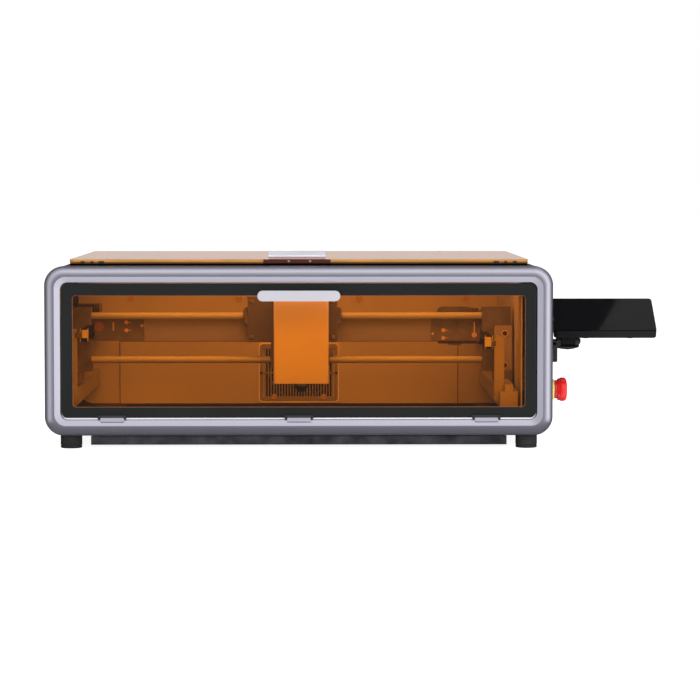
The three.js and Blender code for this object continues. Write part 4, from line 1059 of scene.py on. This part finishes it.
def add_laser_cover():
    """A folded cover, open at the back, with a fan opening, a nozzle hole, side louvres and a guard."""
    left, right = HEAD_LOW.x, HEAD_HIGH.x
    front, back, bottom, top = HEAD_LOW.y, HEAD_HIGH.y, HEAD_LOW.z, HEAD_HIGH.z
    wall, corner = 1.6, 3.2
    inner = corner - wall
    outside = [(right, back)] + arc(right - corner, front + corner, corner, 0, -90, 10)
    outside += arc(left + corner, front + corner, corner, -90, -180, 10) + [(left, back)]
    inside = [(left + wall, back)] + arc(left + corner, front + corner, inner, 180, 270, 10)
    inside += arc(right - corner, front + corner, inner, 270, 360, 10) + [(right - wall, back)]
    form = Form(COVER).prism(outside + inside, "z", bottom + 0.2, top - 0.2, 0.35, 3)
    plate = rounded_rect(left + 0.4, right - 0.4, front + 0.4, back, 2.8, 14)
    for opening, start in ((22, top - wall), (8.6, bottom)):
        form.band(plate, ring_points(HEAD_X, FAN_Y, opening, 14), "z", start, start + wall, 0.4, 3)
    louvres = Form(COVER)
    for i in range(7):
        z = 88 + i * 7.5
        slot = arc(FAN_Y + 8, z, 1.5, -90, 90, 6) + arc(FAN_Y - 12, z, 1.5, 90, 270, 6)
        louvres.prism(slot, "x", left - 2, right + 2, 0)
    form.carve(louvres)
    form.make("laser_cover_shell", "laser_head", "light_metal", "laser_cover")
    form = Form(STEEL_DARK)
    wire = 0.6
    for r in (6.5, 11.7, 16.9, 22.3):
        section = [(r + wire * math.cos(a), wire * math.sin(a)) for a in (TAU * i / 10 for i in range(10))]
        form.turned(section, "z", (HEAD_X, FAN_Y, top + 0.2), 72)
    for quarter in range(4):
        a = math.pi / 4 + quarter * math.pi / 2
        spoke = [(HEAD_X + r * math.cos(a), FAN_Y + r * math.sin(a), top + 0.2) for r in (6, 14, 24)]
        form.wire(spoke, 0.65)
    form.make("laser_fan_guard", "laser_head", "black_metal")


def add_laser_core():
    """The finned heat sink with its slide groove, the air nozzle and the focus lock's thumb screw."""
    left, right = HEAD_LOW.x, HEAD_HIGH.x
    depth = (HEAD_LOW.y + 8, 126)
    knob_y, knob_z = 131, 100
    form = Form(ALUMINIUM).block((left + 5, right - 5), depth, (78, 103.5), 0.6, 3)
    fins = 12
    pitch = (right - left - 12) / fins
    for i in range(fins):
        x = left + 6 + i * pitch
        form.block((x, x + pitch * 0.45), depth, (103, 138), 0.2, 1)
    form.block(about(HEAD_X, 24), (125.5, 135.6), (84, 150), 0.6, 3)
    groove = Form(ALUMINIUM).prism(dovetail(9.3, 137, 12.3, 130.7), "z", 80, 155, 0)
    groove.rod("x", (HEAD_X, knob_y, knob_z), 1.9, 14, 30, 0.1)
    form.carve(groove)
    form.rod("z", (HEAD_X, FAN_Y, 100), 2, 30, 57.5, 0.3, 24, material=STEEL)
    form.make("laser_core", "laser_head", "aluminium", "laser_heatsink")
    nozzle = [
        (2.5, 57), (3.6, 57), (4.3, 57.6), (7.6, 63.4), (8, 64.4), (8, 69), (7.7, 69.4), (7.7, 70.2),
        (8, 70.6), (8, 77.7), (6.3, 77.7), (6.3, 71), (2.5, 68),
    ]
    form = Form(ALUMINIUM).turned(nozzle, "z", (HEAD_X, FAN_Y, 0), 64)
    form.make("laser_air_nozzle", "laser_head", "aluminium", "laser_nozzle")
    low, high = span("focus_knob")
    grip, start, end = scallops(24, 0.09), high.x - 11, high.x
    profile = [
        (0, start), (3.4, start), (4.3, start + 0.8, grip), (4.3, end - 1, grip), (3.5, end - 0.2),
        (3.2, end), (1.6, end), (1.4, end - 0.5), (0, end - 0.5),
    ]
    form = Form(ALUMINIUM).turned(profile, "x", (0, knob_y, knob_z), 144)
    form.rod("x", (0, knob_y, knob_z), 1.5, low.x, start + 1, 0.2, 20)
    form.make("focus_thumb_screw", "focus_lock", "aluminium", "focus_knob")


# ---------------------------------------------------------------- exhaust

DUCT = 37.5


def add_exhaust_grille():
    """A slatted grille with two clips at its foot, and a pale glowing rim round it: a painted glint on the
    grille's edge.
    """
    low, high = span("exhaust_grille")
    border, slats = 4.6, 26
    form = Form(PLASTIC_GREY)
    inner = rounded_rect(low.x + border, high.x - border, low.z + 7, high.z - 7, 1.5)
    form.band(face_outline(low, high, 5), inner, "y", low.y, high.y, 0.5, 3)
    first, last = low.x + border, high.x - border
    pitch = (last - first) / slats
    for i in range(1, slats):
        depth = (low.y + 0.2, high.y - 0.2)
        form.block(about(first + i * pitch, 0.85), depth, (low.z + 6, high.z - 6), 0.3)
    middle = (low.z + high.z) / 2
    form.block((first - 1, last + 1), (low.y + 0.9, high.y - 0.4), about(middle, 1), 0.2, 1)
    for x in (-33, 29.6):
        clip = arc(x, low.z + 7.6, 2.9, 0, 180, 12) + [(x - 2.9, low.z + 3.5), (x + 2.9, low.z + 3.5)]
        form.prism(clip, "y", low.y - 0.5, low.y + 0.6, 0.15, 1, material=BRASS)
    form.screws("y", grid((low.x + 2.6, high.x - 2.6), low.y, middle), 1.6, 0.9, -1, STEEL_DARK)
    form.make("exhaust_slats", "case", "black_plastic", "exhaust_grille")
    # painted glint: a pale band with emission round the grille stands in for light catching its edge
    rims = face_outline(low, high, 5.4, -0.5), face_outline(low, high, 4.4, 0.8)
    form = Form(GRILLE_RIM_PAINTED_GLINT).band(*rims, "y", low.y - 0.25, high.y - 0.6, 0.2)
    form.make("exhaust_grille_rim_glint", "case", "light_metal")


def add_fan_housing():
    """Two flanges joined by a duct, with struts to the motor and a screw in each corner."""
    low, high = span("exhaust_fan_housing")
    front, back = low.y, high.y
    x, z = (low.x + high.x) / 2, (low.z + high.z) / 2
    outer = face_outline(low, high, 4, steps=14)
    form = Form(PLASTIC)
    flange, hole = 3, 35.5
    for start in (front, back - flange):
        form.band(outer, ring_points(x, z, DUCT, 14), "y", start, start + flange, 0.4)
    wall = [(DUCT, front + 1), (DUCT + 2, front + 1), (DUCT + 2, back - 1), (DUCT, back - 1)]
    form.turned(wall, "y", (x, 0, z), 96)
    for angle in (45, 135, 225, 315):
        turn = turned_about((x, 0, z), "Y", angle)
        form.block((x + 11, x + DUCT + 1), (back - 3, back - 0.4), about(z, 2), turn=turn)
    for u, v in grid(about(x, hole), about(z, hole)):
        form.rod("y", (u, 0, v), 3.4, front + 1, back - 1, 0.3, 24)
        form.screws("y", [(u, front, v)], 2.4, 1.4, -1, STEEL_DARK)
    motor = [
        (0, back - 4.5), (12.4, back - 4.5), (13, back - 4), (13, back - 0.6), (12.4, back), (0, back),
    ]
    form.turned(motor, "y", (x, 0, z), 56)
    form.rod("y", (x, 0, z), 2, front + 4, back - 3, 0.3, 24, material=STEEL)
    form.make("exhaust_fan_frame", "case", "black_plastic", "exhaust_fan_housing")


def add_collar():
    """The hose collar: a flange, a beaded tube with an inner lip, gussets and screws."""
    low, high = span("exhaust_collar")
    x, z = (low.x + high.x) / 2, 59.5
    start, end = low.y, high.y
    form = Form(PLASTIC)
    outer = face_outline(low, high, 6, steps=16)
    form.band(outer, ring_points(x, z, DUCT, 16), "y", start, start + 2.5, 0.6, 3)
    tube = [
        (DUCT, start + 1), (DUCT + 2, start + 1), (DUCT + 2, end - 9), (DUCT + 2.6, end - 8.2),
        (DUCT + 2.6, end - 6.4), (DUCT + 2, end - 5.6), (DUCT + 2, end - 0.8), (DUCT + 1.2, end),
        (DUCT + 0.4, end), (DUCT, end - 0.5),
    ]
    form.turned(tube, "y", (x, 0, z), 112)
    lip = [(34, end - 4), (DUCT + 0.4, end - 4), (DUCT + 0.4, end - 2.8), (34, end - 2.8)]
    form.turned(lip, "y", (x, 0, z), 96)
    gusset = [(start + 2.3, DUCT + 1.6), (start + 2.3, DUCT + 5.4), (start + 9.5, DUCT + 1.6)]
    for i in range(12):
        turn = turned_about((x, 0, z), "Y", 30 * i) @ Matrix.Translation((x, 0, z))
        form.prism(gusset, "x", -0.8, 0.8, 0.15, turn=turn)
    places = grid(about(x, 43), start + 2.5, (low.z + 6, high.z - 6))
    form.screws("y", places, 2.6, 1.5, 1, STEEL_DARK)
    form.make("exhaust_duct_collar", "case", "black_plastic", "exhaust_collar")


# ---------------------------------------------------------------- emergency stop


def add_stop_button():
    """A yellow collar and its nut, and the red mushroom head on its stem. Heights are from the wall."""
    middle = centre("estop_collar")
    y, z = middle.y, middle.z
    wall = (span("estop_collar")[1].x - 8.2, y, z)
    collar = [
        (4.6, -21), (8.5, -21), (8.5, 0), (11.7, 0), (11.7, 2), (11.5, 2.3), (11.5, 2.9), (11.7, 3.2),
        (11.7, 7.2), (11.3, 8), (10.95, 8.2), (10.9, 5), (4.6, 5),
    ]
    nut = [(8.6, -7.5), (12.5, -7.5, sides(6)), (12.5, -3.2, sides(6)), (8.6, -3.2)]
    form = Form(YELLOW).turned(collar, "x", wall, 72)
    form.turned(nut, "x", wall, 72, material=PLASTIC)
    form.make("stop_collar", "case", "yellow_plastic", "estop_collar")
    grip, soft = scallops(3, 0.045), scallops(3, 0.02)
    head = [
        (0, 14.4), (4.4, 14.4), (4.4, 9), (10.5, 9), (10.5, 12.1), (12, 12.15), (12.4, 12.6),
        (12.7, 14.6), (13.1, 15.1, soft), (13.55, 15.9, soft), (13.65, 17, grip), (13.6, 19.2, grip),
        (13.3, 20.4, soft), (12.5, 21.5, soft), (11.2, 22.3), (9.6, 22.7), (7, 22.95), (3, 23.15), (0, 23.2),
    ]
    form = Form(RED).turned(head, "x", wall, 108)
    form.make("stop_mushroom", "estop_button", "red_plastic", "estop_head", sharp=50)
    low, high = span("estop_stem")
    form = Form(PLASTIC).rod("x", (0, y, z), (high.z - low.z) / 2, low.x, high.x, 0.5)
    form.make("stop_stem", "estop_plunger", "black_plastic", "estop_stem")


# ---------------------------------------------------------------- display

SCREEN_TURN = Matrix.Rotation(math.radians(30.3), 4, "X")
SCREEN_FRONT = Vector((0, 40, 130.4))
SCREEN_PIVOT_Y, SCREEN_PIVOT_Z = 62, 117


def add_display():
    """The tilted display. It is drawn with its front edge at y = 0 and its top at z = 0, then turned."""
    left, right, length, thick = 287.5, 403.3, 67, 10.5
    y, z = SCREEN_PIVOT_Y, SCREEN_PIVOT_Z
    tilt = Matrix.Translation(SCREEN_FRONT) @ SCREEN_TURN
    form = Form(DISPLAY_BODY)
    form.prism(rounded_rect(left, right, 0, length, 4, 10), "z", -thick, -1.2, 1.0, 4, turn=tilt)
    glass = rounded_rect(left + 0.5, right - 0.5, 0.5, length - 0.5, 3.6, 10)
    form.prism(glass, "z", -1.5, 0, 0.45, 3, material=SCREEN, turn=tilt)
    for x in (left + 36, right - 30):
        form.block(about(x, 3), (1.0, 4.2), (-thick - 1.3, -thick + 0.6), 0.5, 3, turn=tilt)
    arm = Matrix.Translation((0, y, z)) @ SCREEN_TURN
    form.block((296.3, 312.2), (-5, 5), (0, 12), 0.8, 3, turn=arm)
    knuckle = [(2.3, 296.3), (5.4, 296.3), (6, 296.9), (6, 311.6), (5.4, 312.2), (2.3, 312.2)]
    form.turned(knuckle, "x", (0, y, z))
    for i in range(6):
        x = left + 26 + i * 3.4
        form.block((x, x + 1.5), (length - 1.2, length + 0.25), (-7, -4.5), 0.25, material=PLASTIC, turn=tilt)
    form.make("display_panel", "display", "black_gloss", "display_housing")


def add_display_bracket():
    """The arm on the case's side, with two lugs and the pin that the display tilts on."""
    low, high = span("display_bracket")
    y, z = SCREEN_PIVOT_Y, SCREEN_PIVOT_Z
    ledge = (z - 6.5, z + 2)
    lugs_x = ((291.5, 296), (312.5, 317))
    form = Form(PLASTIC)
    form.prism(rounded_rect(44, 84, low.z, high.z, 3), "x", low.x, low.x + 3.5, 0.7, 3)
    form.block((low.x + 1, low.x + 9.5), (y - 6.5, y + 12), (low.z, z), 1.4, 3)
    under = [
        (288, 110.9), (288, 110.2), (297, 108.4), (304, 107.7), (311, 108.7), (316.8, 110.5), (316.8, 110.9),
    ]
    form.prism(under, "y", y - 6, y + 11.5, 0.5)
    form.prism(rounded_rect(y - 6.5, y + 12, *ledge, 2.4, 6), "x", low.x + 1, 296, 0.7, 3)
    form.prism(rounded_rect(y + 7.2, y + 12, *ledge, 1.4, 6), "x", 291.5, 317, 0.7, 3)
    lug = arc(y, z, 6.5, 18, 270, 26)
    lug += [(y + 11, z - 6.5), (y + 12, z - 5.5), (y + 12, z + 1), (y + 11, z + 2)]
    for ends in lugs_x:
        form.prism(lug, "x", *ends, 0.7, 3)
    form.rod("x", (0, y, z), 2, 291.5, 317.2, 0.3, material=STEEL)
    form.screws("x", [(317, y, z)], 3.4, 2.0, 1, STEEL_DARK)
    form.screws("x", grid(low.x + 3.5, (49, 79), (low.z + 6, high.z - 6)), 2.4, 1.4, 1, STEEL_DARK)
    form.make("display_arm", "case", "black_plastic", "display_bracket")


# ---------------------------------------------------------------- electronics


def add_inlet():
    """The power module: a round socket with its pin, and the rocker in its frame."""
    low, high = span("power_inlet")
    x, face, z = (low.x + high.x) / 2, high.y, (low.z + high.z) / 2
    form = Form(PLASTIC).prism(face_outline(low, high, 2.5), "y", face - 2.2, face, 0.5, 3)
    form.block(about(x, 9), (low.y, face - 1.5), about(z, 18), 0.6)
    socket = [(4, 0), (7.2, 0), (7.2, 0.8), (6.7, 1.1), (4, 1.1)]
    form.turned(socket, "y", (x, face - 0.4, z - 9))
    hollow = Form(PLASTIC).rod("y", (x, face, z - 9), 4.4, -14, 5, 0.1, 48)
    hollow.block(about(x, 7.5), (face - 11.5, face + 5), (z + 2, z + 17), 0)
    form.carve(hollow)
    form.rod("y", (x, face, z - 9), 1.1, -14, -2.4, 0.5, 24, material=STEEL)
    form.screws("y", grid(x, face, (low.z + 2.6, high.z - 2.1)), 1.6, 0.8, 1, STEEL)
    form.make("power_socket", "case", "black_plastic", "power_inlet")
    low, high = span("power_rocker")
    y, z = 464, z + 9.5
    rocker = [
        (-5, -1.5), (-5, 1.5), (3.2, 6.9), (4.1, 6.6), (3.8, 3), (3.55, 0), (4.1, -3.2), (5.3, -6.2),
        (4.8, -6.8), (-1, -6.2),
    ]
    form = Form(PLASTIC).prism([(y + u, z + v) for u, v in rocker], "x", low.x, high.x, 0.35)
    zero = [(1.5, 0), (2.1, 0), (2.1, 0.35), (1.5, 0.35)]
    form.turned(zero, "y", (x, y + 4.5, z - 4), 32, material=PLASTIC_WHITE)
    form.block(about(x, 0.35), (y + 3.2, y + 4.0), (z + 2.4, z + 5.6), 0.1, 1, material=PLASTIC_WHITE)
    form.make("power_switch_rocker", "power_switch", "black_plastic", "power_rocker")


def add_control_board():
    """The board with its cooled driver, terminals, connectors, capacitors and small parts."""
    x = span("control_board")[0].x
    face = x + 1.6

    def row(count, first, pitch, width):
        return [(first + i * pitch, first + i * pitch + width) for i in range(count)]

    def part(height, y, z, edge=0.3, steps=2, material=PLASTIC, seat=0.0):
        form.block((face + seat, face + height), y, z, edge, steps, material=material)

    form = Form(BOARD).block((x, face), (130, 300), (45, 150), 0.2, 1)
    part(4, (200, 230), (80, 110), 0.4)
    part(5.2, (206, 224), (86, 104), material=ALUMINIUM, seat=3.9)
    for z in row(9, 55, 4.4, 4.1):
        part(10, (140, 152), z, material=PLASTIC_WHITE)
    for z in row(11, 60, 6.4, 2.4):
        part(8.2, (280, 294), z, 0.2, 1, ALUMINIUM, seat=3)
    part(3.4, (280, 294), (60, 130), material=ALUMINIUM)
    for y in (170, 186):
        form.rod("x", (face, y, 130), 6, -0.2, 12, 0.8, 40, material=DISPLAY_BODY)
        form.rod("x", (face, y, 130), 5.2, 11.9, 12.3, 0.1, 40, material=ALUMINIUM)
    for z, y in itertools.product(row(3, 56, 8, 3.4), row(4, 165, 22, 9)):
        part(1.3, y, z, 0.15, 1)
    for y in row(10, 238, 3.6, 1.4):
        part(1, y, (118, 120.6), 0.1, 1, ALUMINIUM)
    form.screws("x", grid(face, (134.5, 295.5), (49.5, 145.5)), 2.4, 1.6, 1, STEEL)
    form.make("control_circuit", "case", "circuit_board", "control_board")


# ---------------------------------------------------------------- assembly

add_bezel()
dress_hinge_rail()
add_feet()
add_case_screws()
add_seals()
add_door()
add_lid()
add_drives()
add_rods()
add_gantry_details()
add_belt_guards()
add_gantry_covers()
add_carriage()
add_laser_cover()
add_laser_core()
add_fan("laser_fan_rotor", "laser_cooling_fan", "laser_fan", "z", 10, 0.85)
add_exhaust_grille()
add_fan_housing()
add_fan("exhaust_fan_rotor", "exhaust_impeller", "exhaust_fan", "y", 15, 1.08)
add_collar()
add_stop_button()
add_display()
add_display_bracket()
add_inlet()
add_control_board()


# ---------------------------------------------------------------- stage


def placed(name, data):
    """Puts a new object with this data into the scene."""
    item = bpy.data.objects.new(name, data)
    bpy.context.scene.collection.objects.link(item)
    return item


def add_camera():
    data = bpy.data.cameras.new("camera")
    data.lens = 151.95
    data.sensor_width = 36
    data.clip_end = 30
    camera = placed("camera", data)
    camera.location = at(14, -3280, 298)
    camera.rotation_euler = (math.radians(90 - 3.27), 0, math.radians(-0.748))
    bpy.context.scene.camera = camera


def add_floor():
    """A plain pale floor that glows a little, so that it meets the white background without a line."""
    bpy.ops.mesh.primitive_plane_add(size=40, location=(0, 0, 0))
    floor = bpy.context.object
    floor.name = "studio_floor"
    n = Finish("floor_white")
    n.feed(Base_Color=n.mix(n.noise(2, 2), (0.41, 0.41, 0.41), (0.43, 0.43, 0.43)))
    n.set(Roughness=0.9, Specular_IOR_Level=0.1, Emission_Color=(1.0, 1.0, 1.0), Emission_Strength=0.92)
    floor.data.materials.append(n.material)
    floor.visible_glossy = False


def only_in_reflections(card, name, **look):
    """Gives a card its look, and hides it from everything but reflections."""
    n = Finish(name)
    n.set(**look)
    card.data.materials.append(n.material)
    card.visible_camera = False
    card.visible_diffuse = False
    card.visible_transmission = False
    card.visible_shadow = False


def add_black_flag():
    """A dark card on the floor, as under a photographed product. Seen only in reflections, it is painted
    shade standing in for the shaded floor just in front of the case.
    """
    low, high = cad_box
    bpy.ops.mesh.primitive_plane_add(size=1, location=(CASE_X, FRONT_Y - 0.03, 0.001))
    flag = bpy.context.object
    flag.name = "black_flag"
    flag.scale = (high.x - low.x, 0.13, 1)
    only_in_reflections(flag, "flag_black", Base_Color=(0.08, 0.08, 0.09), Roughness=0.9)


def add_light_card():
    """A pale card high above the display. Its slanted edge crosses the reflection in the screen."""
    height = 1164
    corners = [at(x, y, height) for x, y in ((391, 450), (900, 450), (900, 720), (544, 720))]
    mesh = bpy.data.meshes.new("light_card")
    mesh.from_pydata(corners, [], [(0, 1, 2, 3)])
    white = {"Base_Color": (0.3, 0.3, 0.3), "Emission_Color": (1.0, 1.0, 1.0), "Emission_Strength": 0.4}
    only_in_reflections(placed("light_card", mesh), "card_white", **white)


def add_panel_light(name, place, target, size, power, color=(1, 1, 1)):
    data = bpy.data.lights.new(name, "AREA")
    data.shape = "RECTANGLE"
    data.size, data.size_y = size
    data.energy = power
    data.color = color
    light = placed(name, data)
    light.location = place
    light.visible_glossy = False
    light.visible_camera = False
    light.rotation_euler = (target - place).to_track_quat("-Z", "Y").to_euler()


def studio_world():
    """White behind the object; round it a soft room, brightest above the camera and dark at the back."""
    world = bpy.data.worlds.new("studio")
    world.use_nodes = True
    n = Nodes(world.node_tree, "Generated")
    axes = n.add("ShaderNodeSeparateXYZ")
    n.link(n.place, axes.inputs["Vector"])
    x, y, z = axes.outputs
    depth = n.add("ShaderNodeValToRGB")
    stops = [
        (0.0, 0.22), (0.05, 0.34), (0.17, 1.05), (0.28, 0.95), (0.38, 0.62), (0.5, 0.28), (0.66, 0.1),
        (1.0, 0.03),
    ]
    ramp = depth.color_ramp
    while len(ramp.elements) < len(stops):
        ramp.elements.new(0.5)
    for element, (place, value) in zip(ramp.elements, stops):
        element.position = place
        element.color = (value, value, value, 1)
    n.link(n.spread(y, 0, 1, -1, 1), depth.inputs["Fac"])
    room = n.math("MULTIPLY", depth.outputs["Color"], n.spread(x, 0.66, 1.34, -1, 1))
    backdrop = n.math("MULTIPLY", n.spread(y, 0, 0.66, 0.9, 0.96), n.spread(z, 1, 0, 0.07, 0.14))
    overhead = n.spread(z, 0, 0.05, 0.35, 0.95)
    total = n.math("ADD", n.math("ADD", room, backdrop), overhead)
    seen = n.add("ShaderNodeMix")
    n.link(n.add("ShaderNodeLightPath").outputs["Is Camera Ray"], seen.inputs["Factor"])
    n.link(total, seen.inputs["A"])
    seen.inputs["B"].default_value = 1.0
    background = n.tree.nodes["Background"]
    background.inputs["Color"].default_value = (1, 1, 1, 1)
    n.link(seen.outputs["Result"], background.inputs["Strength"])
    return world


def add_lights():
    """Two soft panels above and in front, and a small fill inside the chamber."""
    bpy.context.scene.world = studio_world()
    middle = at(0, 200, 110)
    add_panel_light("overhead_softbox", middle + Vector((0, -0.1, 2.4)), middle, (2.2, 1.4), 62)
    add_panel_light("front_fill", middle + Vector((0.3, -2.9, 0.9)), middle, (1.8, 1.2), 63)
    violet = (1, 0.66, 0.95)
    add_panel_light("chamber_fill", at(0, 70, 196), at(0, 330, 60), (0.42, 0.05), 0.29, violet)


add_camera()
add_floor()
add_black_flag()
add_light_card()
add_lights()
bpy.context.scene.view_settings.view_transform = "Standard"
